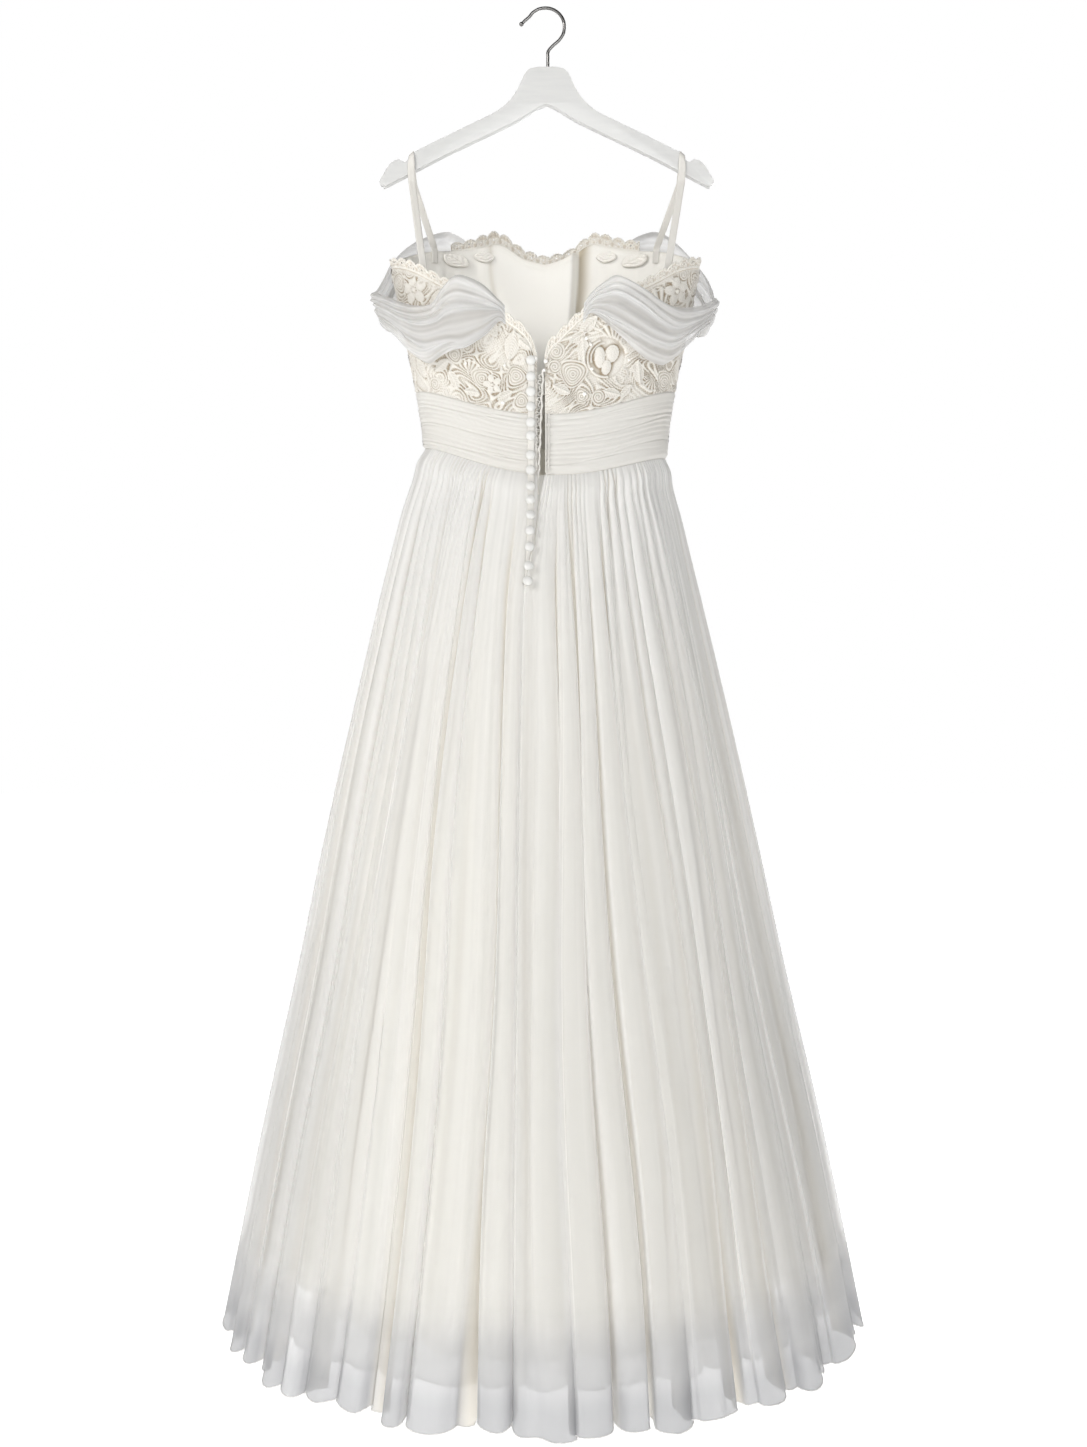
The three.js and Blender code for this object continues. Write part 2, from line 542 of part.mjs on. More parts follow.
// Ribbon along a list of stations with a point and the direction of its width
function ribbon(stations, width, thick) {
  const facing = stations.map((station, i) => {
    const before = stations[Math.max(0, i - 1)].at;
    const after = stations[Math.min(stations.length - 1, i + 1)].at;
    return new THREE.Vector3().subVectors(after, before).normalize().cross(station.across).normalize();
  });
  const place = (side) => stations.map((station, i) => [-0.5, 0.5].map((w) =>
    station.at.clone().addScaledVector(station.across, w * width).addScaledVector(facing[i], side * thick)));
  return wallSolid(place(-0.5), place(0.5));
}

function strap(side) {
  const nearTop = side < 0 ? leftNeck(-STRAP.nearAngle) : rightNeck(STRAP.nearAngle);
  const farTop = frontNeck(180 - (180 - STRAP.farAngle));
  const away = -SATIN_WALL / 2 - SEAM - STRAP.thick / 2;
  const lining = -LINING_GAP - LINING_WALL - LINING_CLEAR + SEAM;
  const x = HANGER.middle + side * STRAP.crossing;
  const slope = Math.atan2(179.4 - 167, 167 - 153);
  const level = new THREE.Vector3(1, 0, 0);
  const slant = new THREE.Vector3(Math.cos(slope), 0, -side * Math.sin(slope));
  const bar = -167 - (STRAP.crossing - 153) * Math.tan(slope);
  const half = HANGER.thick / 2 + SEAM + STRAP.thick / 2;
  const lift = (STRAP.thick / 2 + SEAM) / Math.cos(slope) + 0.4;
  const nearFoot = bodyPoint(side * STRAP.nearAngle, nearTop - STRAP.tuck, away);
  const nearEdge = bodyPoint(side * STRAP.nearAngle, nearTop + 2, away);
  const farFoot = bodyPoint(side * STRAP.farAngle, farTop - STRAP.tuck, away + lining);
  const farEdge = bodyPoint(side * STRAP.farAngle, farTop + 2, away + lining);
  const nearDown = new THREE.Vector3(x, -half - 0.8, bar - 26);
  const farDown = new THREE.Vector3(x, half + 0.8, bar - 26);
  const stations = [
    { at: nearFoot, across: tangentAt(side * STRAP.nearAngle, nearTop) },
    { at: nearEdge, across: tangentAt(side * STRAP.nearAngle, nearTop) },
    ...steps(5, 0.12, 0.95).map((t) => ({ at: nearEdge.clone().lerp(nearDown, t), across: level })),
    { at: new THREE.Vector3(x, -half - 0.5, bar - 14), across: level },
    { at: new THREE.Vector3(x, -half - 0.5, bar - 3), across: slant },
    { at: new THREE.Vector3(x, -half + 2, bar + lift), across: slant },
    { at: new THREE.Vector3(x, half - 2, bar + lift), across: slant },
    { at: new THREE.Vector3(x, half + 0.5, bar - 3), across: slant },
    { at: new THREE.Vector3(x, half + 0.5, bar - 14), across: level },
    ...steps(5, 0.05, 0.88).map((t) => ({ at: farDown.clone().lerp(farEdge, t), across: level })),
    { at: farEdge, across: tangentAt(side * STRAP.farAngle, farTop) },
    { at: farFoot, across: tangentAt(side * STRAP.farAngle, farTop) },
  ];
  return ribbon(stations, STRAP.width, STRAP.thick);
}

// Horizontal direction along the bodice, turned so that it points to +X
function tangentAt(angle, z) {
  const direction = bodyPoint(angle + 1, z).sub(bodyPoint(angle - 1, z));
  direction.z = 0;
  direction.normalize();
  return direction.x < 0 ? direction.negate() : direction;
}

// Hanger: one flat outline, the same on both sides of its middle, with broken edges
function hangerBody() {
  const outline = new THREE.Shape();
  const inset = HANGER.edge;
  outline.moveTo(0, HANGER.peak - inset);
  for (const point of HANGER_SIDE) outline.lineTo(point.x * 0.995, point.z - inset * 0.4);
  outline.lineTo(0, HANGER.apex);
  for (const point of [...HANGER_SIDE].reverse()) outline.lineTo(-point.x * 0.995, point.z - inset * 0.4);
  outline.closePath();
  const geometry = new THREE.ExtrudeGeometry(outline, {
    depth: HANGER.thick - 2 * inset, bevelEnabled: true, bevelSize: inset * 0.9,
    bevelThickness: inset, bevelSegments: 1, steps: 1,
  });
  geometry.translate(HANGER.middle, 0, -HANGER.thick / 2 + inset);
  return geometry.rotateX(Math.PI / 2);
}

function hangerHook() {
  const onRing = (turn) => [HOOK.ring * Math.cos(turn * DEG), HOOK.centre + HOOK.ring * Math.sin(turn * DEG)];
  const route = [
    [HOOK.stemX, HANGER.peak + 0.4], [HOOK.stemX, -57], [HOOK.stemX + 0.3, -49], [8.6, -42.2],
    ...[-42, -15, 15, 45, 75, 105, 130, 148].map(onRing), [-23.6, -12.4], [-28, -16.8],
  ];
  const path = new THREE.CatmullRomCurve3(route.map(([x, z]) => new THREE.Vector3(x, 0, z)));
  const section = new THREE.Shape();
  for (let i = 0; i < HOOK.sides; i += 1) {
    const turn = (2 * Math.PI * i) / HOOK.sides;
    const [x, y] = [Math.cos(turn) * HOOK.wire * 0.5, Math.sin(turn) * HOOK.wire * 0.5];
    if (i === 0) section.moveTo(x, y);
    else section.lineTo(x, y);
  }
  return new THREE.ExtrudeGeometry(section, { steps: HOOK.steps, extrudePath: path, bevelEnabled: false });
}

// Back closure

// Point on the outside of the left back, from the bodice over the waistband to the skirt
function closureSurface(x, z, out) {
  const bandTop = edgeHeight(BAND_TOP, 0);
  const bandBottom = edgeHeight(BAND_BOTTOM, 0);
  if (z > bandBottom - 4) {
    const clear = z > bandTop + 4 ? SATIN_WALL / 2 + LACE_RISE : BAND_OUT + BAND_WALL / 2 + PLEAT_RISE;
    return bodyPoint(angleOfX(x, z), z, clear + out);
  }
  const down = ((edgeHeight(BAND_BOTTOM, 0) - z) / (edgeHeight(BAND_BOTTOM, 0) - HEM.side + HEM.backFall)) * SKIRT_LENGTH;
  const half = tableValue(SKIRT, 'down', 'half', down);
  const centre = tableValue(SKIRT, 'down', 'centre', down);
  const { y } = skirtOutline(Math.asin((x - centre) / half) / DEG, down, -out - 3.6);
  return new THREE.Vector3(x, y, z);
}

function placket() {
  const heights = steps(16, PLACKET.top, PLACKET.bottom);
  const left = (z) => tableValue(BUTTON_LINE, 'z', 'x', z) - 8;
  const right = (z) => Math.min(PLACKET.right, tableValue(OVERLAP, 'z', 'x', z) - 1.2);
  const place = (out) => heights.map((z) => steps(2).map((w) =>
    closureSurface(left(z) + (right(z) - left(z)) * w, z, out)));
  return wallSolid(place(SEAM + PLACKET.thick), place(SEAM));
}

function button(index) {
  const z = BUTTON_HEIGHTS[index];
  const r = BUTTON.radius;
  const profile = [[0, 0], [r, BUTTON.dome * 0.2], [r * 0.74, BUTTON.dome * 0.84], [0, BUTTON.dome]];
  const geometry = new THREE.LatheGeometry(profile.map(([x, y]) => new THREE.Vector2(x, y)), BUTTON.sides);
  const x = tableValue(BUTTON_LINE, 'z', 'x', z);
  const surface = (height) => closureSurface(x, height, 2 * SEAM + PLACKET.thick);
  const slope = surface(z + r).sub(surface(z - r));
  geometry.rotateX(Math.PI - Math.atan2(slope.y, slope.z));
  const seat = surface(z);
  return geometry.translate(seat.x, seat.y, seat.z);
}

// Loop tape on the right edge: a narrow strip whose free edge runs out in small loops
function loopTape() {
  const heights = steps(LOOPS.count * 3, LOOPS.top, LOOPS.bottom);
  const reach = (i) => [0.35, 1, 0.95][i % 3] * LOOPS.reach;
  const root = (z) => {
    const foot = Math.max(0, (z - OPENING_FOOT) / (edgeHeight(BAND_BOTTOM, 0) - OPENING_FOOT));
    return tableValue(OVERLAP, 'z', 'x', z) + SEAM + (LOOPS.root - OPENING_LEFT_X - SEAM) * Math.min(1, foot);
  };
  const room = (z) => Math.min(1, Math.max(0.25, (root(z) - OPENING_LEFT_X - 1) / 7));
  const place = (out) => heights.map((z, i) => [1, 0].map((w) => {
    const x = root(z) - w * reach(i) * room(z) - 0.4;
    return bodyPoint(angleOfX(x, Math.max(z, -560)), z, out);
  }));
  return wallSolid(place(LOOPS.thick), place(0));
}

// Lace leaf and petal that cover the inner end of each swag on the front neckline
function petal(angle, z, size, tilt) {
  const outline = steps(9).map((t) => {
    const turn = t * Math.PI;
    return [Math.sin(turn) * size * 0.42, Math.cos(turn) * size * 0.5];
  });
  const inside = -SATIN_WALL / 2 - LINING_GAP - LINING_WALL - PETAL_CLEAR;
  const place = (away) => outline.slice(1, -1).map(([half, along]) => [-1, -0.5, 0.5, 1].map((w) => {
    const round = away > 0 ? away * (1.2 - 0.5 * Math.abs(w)) : 0;
    const arc = half * w * Math.cos(tilt) + along * Math.sin(tilt);
    const rise = along * Math.cos(tilt) - half * w * Math.sin(tilt);
    return bodyPoint(angle + arc / 1.35, z + rise, inside - round);
  }));
  return wallSolid(place(0), place(1.8));
}

function petals() {
  return [
    ['leaf_left', petal(216.5, -276, 18, 0.9)],
    ['petal_left', petal(204, -270, 13, 0.2)],
    ['leaf_right', petal(143.5, -276, 18, -0.9)],
    ['petal_right', petal(156, -270, 13, -0.2)],
  ];
}

// Assembly

const dress = new THREE.Group();

function add(name, geometry, look) {
  const mesh = new THREE.Mesh(geometry, new THREE.MeshStandardMaterial(COLOURS[look]));
  mesh.name = name;
  dress.add(mesh);
}

add('hanger_body', hangerBody(), 'wood');
add('hanger_hook', hangerHook(), 'steel');
add('strap_left', strap(-1), 'satin');
add('strap_right', strap(1), 'satin');
for (const [name, geometry] of bodicePieces()) add(name, geometry, 'lace');
add('bodice_lining', bodiceLining(), 'satin');
for (const [name, geometry] of laceEdges()) add(name, geometry, 'lace');
for (const [name, geometry] of petals()) add(name, geometry, 'lace');
for (const [name, geometry] of waistbandPieces()) add(name, geometry, 'chiffon');
for (const [name, geometry] of skirtPieces()) add(name, geometry, 'tulle');
add('skirt_underskirt', innerLayer(UNDERSKIRT, 31), 'tulle');
add('skirt_lining', innerLayer(LINING, 14), 'satin');
add('sleeve_left', swag(LEFT_SWAG), 'tulle');
add('sleeve_right', swag(RIGHT_SWAG), 'tulle');
add('button_placket', placket(), 'satin');
add('loop_tape', loopTape(), 'satin');
BUTTON_HEIGHTS.forEach((_, index) => add(`button_${String(index + 1).padStart(2, '0')}`, button(index), 'satin'));

export default dress;
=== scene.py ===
"""Wedding dress hung by its straps from a hanger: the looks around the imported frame.

Shapes are worked out in millimetres and become metres where a mesh is made. +Z is up.
The dress's back, with its buttons, faces -Y and the camera.
An angle on the garment is 0 at the centre back, 90 at the +X side and 180 at the centre front.
"""

import math

import bmesh
import bpy
import numpy as np
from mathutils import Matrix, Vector


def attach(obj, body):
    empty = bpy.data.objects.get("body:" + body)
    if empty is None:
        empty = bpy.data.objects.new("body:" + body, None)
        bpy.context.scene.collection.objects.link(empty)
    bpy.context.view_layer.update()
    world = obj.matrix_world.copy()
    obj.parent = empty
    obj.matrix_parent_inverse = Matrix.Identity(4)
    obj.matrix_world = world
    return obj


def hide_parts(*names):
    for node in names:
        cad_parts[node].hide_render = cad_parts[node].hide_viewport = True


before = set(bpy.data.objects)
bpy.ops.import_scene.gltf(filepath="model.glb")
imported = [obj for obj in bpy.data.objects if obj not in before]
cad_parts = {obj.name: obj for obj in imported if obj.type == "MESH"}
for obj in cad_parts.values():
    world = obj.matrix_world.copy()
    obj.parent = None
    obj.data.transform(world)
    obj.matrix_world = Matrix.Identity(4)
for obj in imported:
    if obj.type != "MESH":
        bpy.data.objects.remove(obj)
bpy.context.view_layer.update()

MM = 0.001
TURN = 2 * math.pi


def rows(names, *values):
    """A small table with named columns."""
    return dict(zip(names.split(), np.array(values, float).T))


# The garment's form, as in the CAD source

SEAM = 0.3
SATIN_WALL = 1.8
LINING_WALL = 1.0
LINING_GAP = 0.7
LINING_CLEAR = 1.3
PETAL_CLEAR = 0.75
BAND_WALL = 1.6
BAND_OUT = 1.4
LACE_RISE = 1.5
PLEAT_RISE = 1.5

BODY = rows(
    "z half back front",
    (-230, 188, 86, 93), (-299, 180, 84, 99), (-335, 172, 80, 98), (-375, 164, 76, 88),
    (-410, 157, 72, 77), (-449, 149, 68, 67), (-492, 142, 66, 62), (-560, 138, 65, 62),
)
CUP_SIDE = 34
CUP_SPREAD = 20
CUP_Z = -330
CUP_HEIGHT = 44
CUP_RISE = 15
FRONT_NECK = rows(
    "off z",
    (0, -278), (8, -271), (17.5, -254), (25, -258), (34, -263), (48, -268), (70, -284), (90, -300),
)
BACK_NECK_LEFT = rows(
    "x z",
    (-178, -300), (-165, -304), (-142, -315), (-120, -331), (-84, -354), (-48, -377),
    (-30, -390), (-20, -401), (-9.6, -428),
)
BACK_NECK_RIGHT = rows(
    "x z",
    (-0.7, -426), (3, -415), (15, -402), (28, -389), (46, -372), (84, -352),
    (120, -331), (142, -315), (165, -304), (178, -300),
)
NECK_HALF = 166
BAND_TOP = {"side": -448.5, "skew": 0, "back_fall": 35, "front_rise": 8}
BAND_BOTTOM = {"side": -520.5, "skew": 6, "back_fall": 31, "front_rise": 14}
BAND_TALL = 72
BACK_FALL_POWER = 2.6
OPENING_LEFT_X = -9.6
OPENING_RIGHT_X = -0.7
OPENING_FOOT = -600
OVERLAP = rows("z x", (-549, -9.6), (-600, -10.5), (-685, -21), (-760, -24), (-1560, -32))
SKIRT_LENGTH = 1008
SKIRT = rows(
    "down half back front centre",
    (0, 139.5, 65, 62, 0), (19, 147, 73, 69, -2), (65, 162.5, 90, 84, -4), (124, 178, 110, 102, -5),
    (259, 210.5, 151, 140, -5), (411, 245, 193, 178, -5), (598, 284, 240, 223, -4),
    (786, 326.5, 286, 268, -3), (1008, 371.5, 340, 320, -2.5),
)
HEM_SIDE = -1522
HEM_BACK_FALL = 31
HEM_FRONT_RISE = 6
VALLEYS = rows(
    "at depth",
    (-5.6, 17), (4.5, 12), (12, 18), (18, 14), (24.5, 18), (35, 21), (46, 19), (60, 24), (76, 18),
    (93, 22), (108, 20), (121, 23), (132, 18), (146, 22), (157, 17), (167, 20), (181, 16), (192, 21),
    (205, 19), (215, 22), (228, 20), (243, 23), (256, 19), (270, 21), (284, 17), (299, 24), (316, 22),
    (332, 19), (336.5, 14), (347.7, 18), (354.4, 17),
)
FLUTE_POWER = 2.3
FLUTE_DEEPER = 1.5
GATHER_FADE = 150
LEFT_SWAG = rows(
    "angle out top bottom",
    (-16, 1.6, -361, -382), (-18.5, 7, -354, -379), (-24.5, 14, -338, -395), (-33, 20, -329, -409),
    (-39.3, 22, -341, -411), (-44.5, 24, -357, -415), (-53, 26, -359, -423), (-61.5, 27, -354, -413),
    (-72.5, 27, -344, -389), (-90, 27, -331, -368), (-104, 31, -319, -372), (-113, 33, -299, -362),
    (-120, 34, -274, -350), (-130, 34, -252, -336), (-142, 31, -237, -318), (-147.5, 22, -241, -300),
    (-151, 1.75, -255, -276),
)
RIGHT_SWAG = rows(
    "angle out top bottom",
    (15, 1.6, -359, -380), (18, 7, -346, -370), (22.3, 13, -336, -376), (26, 17, -330, -386),
    (30.3, 20, -333, -396), (38, 23, -343, -411), (46.5, 25, -355, -422), (55.5, 27, -361, -424),
    (65.5, 28, -358, -403), (76, 27, -350, -383), (90, 27, -337, -370), (102, 31, -331, -378),
    (109.5, 34, -311, -368), (116, 34, -291, -356), (129.5, 34, -254, -336), (138, 33, -238, -320),
    (145, 25, -241, -302), (150.5, 1.75, -257, -274),
)
STRAP_WIDTH = 8.5
STRAP_THICK = 1.4
STRAP_NEAR = 53
STRAP_FAR = 133
STRAP_CROSSING = 158
STRAP_TUCK = 14
HANGER_MIDDLE = 1.5
HANGER_THICK = 13
HANGER_APEX = -111.5
HANGER_PEAK = -67.2
HANGER_SIDE = rows(
    "x z",
    (15, -69.3), (24.3, -74.6), (34.9, -95.7), (45.4, -109.7), (60.6, -121.4), (78.2, -130.2),
    (153, -167), (162, -177), (167, -179.4), (172.9, -176.4), (182.3, -181.1), (190.5, -193.4),
    (195.2, -202.8), (190.5, -207.3),
)
HANGER_UNDER = ((190.5, -207.3), (184, -205.5), (120, -172), (40, -133.5), (12, -117), (0, HANGER_APEX))
NOTCH_X = 153
NOTCH_Z = -167
NOTCH_SLOPE = math.atan2(12.4, 14)
HOOK_WIRE = 3.8
HOOK_RING = 22.3
HOOK_CENTRE = -20.1
HOOK_STEM_X = 2.9
BUTTON_RADIUS = 5.6
BUTTON_DOME = 4.4
BUTTON_HEIGHTS = (
    -423, -441, -458, -475, -493, -508, -530, -547, -566, -582, -600, -618, -637, -659, -676,
)
BUTTON_LINE = rows("z x", (-423, -16.4), (-560, -16.8), (-620, -17.5), (-680, -20))
PLACKET_TOP = -424
PLACKET_BOTTOM = -684
PLACKET_THICK = 0.9
LOOP_LINE = rows("fall x", (434, -1.6), (549, -6.5), (600, -9.0))


def curve(table, key, column, at):
    """Smooth value of a table's column where another column, its key, has the value at."""
    k, v = table[key], table[column]
    if k[-1] < k[0]:
        k, v = k[::-1], v[::-1]
    slope = np.diff(v) / np.diff(k)
    tangent = np.concatenate([slope[:1], (slope[:-1] + slope[1:]) / 2, slope[-1:]])
    at = np.clip(at, k[0], k[-1])
    i = np.clip(np.searchsorted(k, at, side="right") - 1, 0, len(k) - 2)
    span = k[i + 1] - k[i]
    t = (at - k[i]) / span
    rise = v[i] * (1 + 2 * t) * (1 - t) ** 2 + tangent[i] * span * t * (1 - t) ** 2
    return rise + v[i + 1] * t * t * (3 - 2 * t) - tangent[i + 1] * span * t * t * (1 - t)


def ease(x):
    """From 0 to 1 with no corner at either end."""
    x = np.clip(x, 0, 1)
    return x * x * (3 - 2 * x)


def bell(x, width=0.9):
    """A smooth bump, one high at zero. Over the lace it is a raised thread, in millimetres."""
    return np.exp(-((x / width) ** 2))


def turned(angle):
    """Share across the garment and share towards its back at an angle in degrees."""
    return np.sin(np.radians(angle)), np.cos(np.radians(angle))


def rotated(x, y, degrees):
    t = math.radians(degrees)
    return x * math.cos(t) + y * math.sin(t), -x * math.sin(t) + y * math.cos(t)


def cup_rise(angle, z):
    height = bell(z - CUP_Z, CUP_HEIGHT)
    cups = sum(bell(angle % 360 - side, CUP_SPREAD) for side in (180 - CUP_SIDE, 180 + CUP_SIDE))
    return CUP_RISE * height * cups


def body_point(angle, z, out=0.0):
    """Points of the bodice at angles and heights, moved outward."""
    angle, z, out = np.broadcast_arrays(np.asarray(angle, float), z, out)
    half = curve(BODY, "z", "half", z)
    across, along = turned(angle)
    depth = np.where(along > 0, curve(BODY, "z", "back", z), curve(BODY, "z", "front", z))
    nx, ny = across / half, -along / depth
    move = (out + cup_rise(angle, z)) / np.hypot(nx, ny)
    return np.stack([half * across + nx * move, -depth * along + ny * move, z + 0.0], -1)


def angle_of_x(x, z):
    return np.degrees(np.arcsin(np.clip(x / curve(BODY, "z", "half", z), -1, 1)))


def edge_height(edge, angle):
    across, along = turned(angle)
    back = edge["back_fall"] * np.maximum(0, along) ** BACK_FALL_POWER
    return edge["side"] - edge["skew"] * across - back + edge["front_rise"] * np.maximum(0, -along) ** 2


def front_neck(angle):
    return curve(FRONT_NECK, "off", "z", np.abs(angle % 360 - 180))


def left_neck(angle):
    return curve(BACK_NECK_LEFT, "x", "z", NECK_HALF * turned(angle)[0])


def right_neck(angle):
    return curve(BACK_NECK_RIGHT, "x", "z", NECK_HALF * turned(angle)[0])


# Lengths round the bodice are taken on one oval
ARC_HALF = 158
ARC_DEPTH = 76
ARC_ANGLES = np.linspace(-200, 270, 941)
ARC_SIN, ARC_COS = turned(ARC_ANGLES)
ARC_LENGTHS = np.cumsum(np.hypot(ARC_HALF * ARC_COS, ARC_DEPTH * ARC_SIN)) * math.radians(0.5)
ARC_LENGTHS -= np.interp(0, ARC_ANGLES, ARC_LENGTHS)


def arc(angle):
    """Length in millimetres round the bodice from the centre back."""
    return np.interp(angle, ARC_ANGLES, ARC_LENGTHS)


def even_angles(first, last, step):
    """Angles between two, about a step in millimetres apart round the bodice."""
    start, end = arc(first), arc(last)
    count = int(abs(end - start) / step) + 1
    return np.interp(np.linspace(start, end, count + 1), ARC_LENGTHS, ARC_ANGLES)


# Mesh tools


def quads(height, width, ring=False, loop=False):
    """Faces of a grid whose rows run down and whose columns run anticlockwise."""
    r, c = np.mgrid[0 : height - (0 if loop else 1), 0 : width - (0 if ring else 1)]
    d, e = (c + 1) % width, (r + 1) % height
    return np.stack([r * width + c, e * width + c, e * width + d, r * width + d], -1).reshape(-1, 4)


def link(name, data):
    """A new object of the scene."""
    made = bpy.data.objects.new(name, data)
    bpy.context.scene.collection.objects.link(made)
    return made


class Shape:
    """Points in millimetres, faces and point values of one piece, gathered part by part."""

    def __init__(self):
        self.points = []
        self.faces = []
        self.values = []
        self.count = 0

    def add(self, points, faces, values=None):
        flat = np.asarray(points, float).reshape(-1, 3)
        self.points.append(flat)
        self.faces += [np.asarray(face) + self.count for face in faces]
        whole = points.shape[:-1]
        self.values.append({k: np.broadcast_to(v, whole).ravel() for k, v in (values or {}).items()})
        self.count += len(flat)

    def grid(self, points, ring=False, keep=None, **values):
        faces = quads(*points.shape[:2], ring)
        self.add(points, [faces if keep is None else faces[keep.ravel()]], values)

    def tube(self, path, radius, sides=8, loop=False, lean=(0, 1, 0), **values):
        """A round cord along a path. lean is any direction that the path never follows."""
        path = np.asarray(path, float)
        ahead = np.roll(path, -1, 0) - np.roll(path, 1, 0) if loop else np.gradient(path, axis=0)
        side = unit(np.cross(ahead, lean))
        up = unit(np.cross(side, ahead))
        turn = np.arange(sides) * TURN / sides
        size = np.broadcast_to(radius, path.shape[:1])[:, None, None]
        ring = np.cos(turn)[:, None] * side[:, None] + np.sin(turn)[:, None] * up[:, None]
        faces = [quads(len(path), sides, True, loop)]
        if not loop:
            last = (len(path) - 1) * sides
            faces += [np.arange(sides)[None], np.arange(last + sides - 1, last - 1, -1)[None]]
        self.add(path[:, None] + size * ring, faces, values)

    def cap(self, point_at, rings, sectors, **values):
        """A closed disc of points: point_at takes the share of the way out and the turn."""
        share = np.linspace(1, 0, rings + 1)[:-1, None] + np.zeros(sectors)
        turn = np.arange(sectors) * TURN / sectors + np.zeros((rings, 1))
        points = point_at(share, turn).reshape(-1, 3)
        middle = point_at(np.zeros((1, 1)), np.zeros((1, 1))).reshape(1, 3)
        inner = (rings - 1) * sectors + np.arange(sectors)
        fan = np.stack([inner, np.full(sectors, rings * sectors), np.roll(inner, -1)], -1)
        self.add(np.concatenate([points, middle]), [quads(rings, sectors, True), fan], values)

    def ball(self, centre, radius, rings, sectors):
        def point_at(share, turn):
            wide = np.sin(share * math.pi)
            tall = np.cos(share * math.pi)
            return centre + radius * np.stack([wide * np.cos(turn), wide * np.sin(turn), tall], -1)

        self.cap(point_at, rings, sectors)

    def make(self, name, look, nodes=(), wall=0.0, closed=False):
        """The piece's object, riding on the body and standing for its CAD nodes."""
        mesh = bpy.data.meshes.new(name)
        points = np.concatenate(self.points) * MM
        corners = np.concatenate([face.ravel() for face in self.faces])
        sizes = np.concatenate([np.full(len(face), face.shape[1]) for face in self.faces])
        mesh.vertices.add(len(points))
        mesh.vertices.foreach_set("co", points.ravel())
        mesh.loops.add(len(corners))
        mesh.loops.foreach_set("vertex_index", corners.astype(np.int32))
        mesh.polygons.add(len(sizes))
        mesh.polygons.foreach_set("loop_start", (np.cumsum(sizes) - sizes).astype(np.int32))
        mesh.update(calc_edges=True)
        mesh.polygons.foreach_set("use_smooth", np.full(len(sizes), True))
        for key in sorted({k for part in self.values for k in part}):
            whole = [part.get(key, np.zeros(len(flat))) for part, flat in zip(self.values, self.points)]
            made = mesh.attributes.new(key, "FLOAT", "POINT")
            made.data.foreach_set("value", np.concatenate(whole).astype(np.float32))
        if closed:
            facing_out = bmesh.new()
            facing_out.from_mesh(mesh)
            bmesh.ops.recalc_face_normals(facing_out, faces=facing_out.faces)
            facing_out.to_mesh(mesh)
            facing_out.free()
        mesh.materials.append(look)
        piece = link(name, mesh)
        if wall:
            shell = piece.modifiers.new("wall", "SOLIDIFY")
            shell.thickness = wall * MM
            shell.offset = 0
        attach(piece, "root")
        if nodes:
            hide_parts(*nodes)
        return piece


def unit(vectors):
    return vectors / np.maximum(np.linalg.norm(vectors, axis=-1, keepdims=True), 1e-9)


def normals(points, ring=False):
    """Unit normals of a grid of points."""
    if ring:
        along = np.roll(points, -1, 1) - np.roll(points, 1, 1)
    else:
        along = np.gradient(points, axis=1)
    return unit(np.cross(np.gradient(points, axis=0), along))


def spread(values, times):
    """Values of a grid, evened out between neighbours."""
    for _ in range(times):
        padded = np.pad(values, 1, mode="edge")
        values = (padded[:-2, 1:-1] + padded[2:, 1:-1] + padded[1:-1, :-2] + padded[1:-1, 2:]) / 4
    return values


def tooth(phase, sharp):
    """A pleat's profile: it rises slowly and drops fast, once for each whole number of the phase."""
    x = phase - np.floor(phase)
    return np.where(x < sharp, ease(x / sharp), ease((1 - x) / (1 - sharp)))


# Materials


def node(tree, kind, inputs=None, **settings):
    made = tree.nodes.new(kind)
    for key, value in settings.items():
        setattr(made, key, value)
    for key, value in (inputs or {}).items():
        if isinstance(value, bpy.types.NodeSocket):
            tree.links.new(value, made.inputs[key])
        else:
            made.inputs[key].default_value = value
    return made


def new_look(name):
    look = bpy.data.materials.new(name)
    look.use_nodes = True
    look.node_tree.nodes.clear()
    return look, look.node_tree


def rgb(red, green, blue):
    return (red, green, blue, 1.0)


def ranged(tree, value, low, high, first=0.0, last=1.0):
    """A number between the first and the last as a value goes from low to high."""
    return node(tree, "ShaderNodeMapRange", {
        "Value": value, "From Min": low, "From Max": high, "To Min": first, "To Max": last,
    }).outputs[0]


def mix_colour(tree, share, first, second):
    made = node(tree, "ShaderNodeMix", {0: share, 6: first, 7: second}, data_type="RGBA")
    return made.outputs[2]


def mix_shader(tree, share, first, second):
    return node(tree, "ShaderNodeMixShader", {0: share, 1: first, 2: second}).outputs[0]


def attribute(tree, name):
    return node(tree, "ShaderNodeAttribute", attribute_name=name).outputs["Fac"]


def own_place(tree):
    return node(tree, "ShaderNodeTexCoord").outputs["Object"]


def noise(tree, scale, detail, stretch=(1, 1, 1)):
    """Noise value in the object's own space. scale is in waves a metre."""
    sized = node(tree, "ShaderNodeMapping", {"Vector": own_place(tree), "Scale": stretch}).outputs[0]
    return node(tree, "ShaderNodeTexNoise", {"Vector": sized, "Scale": scale, "Detail": detail}).outputs[0]


def cells(tree, scale, feature):
    """Distances within small cells, as of a net or of threads. scale is in cells a metre."""
    made = node(tree, "ShaderNodeTexVoronoi", {"Vector": own_place(tree), "Scale": scale}, feature=feature)
    return made.outputs["Distance"]


def bump(tree, height, strength, distance):
    inputs = {"Height": height, "Strength": strength, "Distance": distance}
    return node(tree, "ShaderNodeBump", inputs).outputs[0]


def principled(tree, inputs):
    return node(tree, "ShaderNodeBsdfPrincipled", inputs).outputs[0]


def end(tree, shader):
    node(tree, "ShaderNodeOutputMaterial", {"Surface": shader})


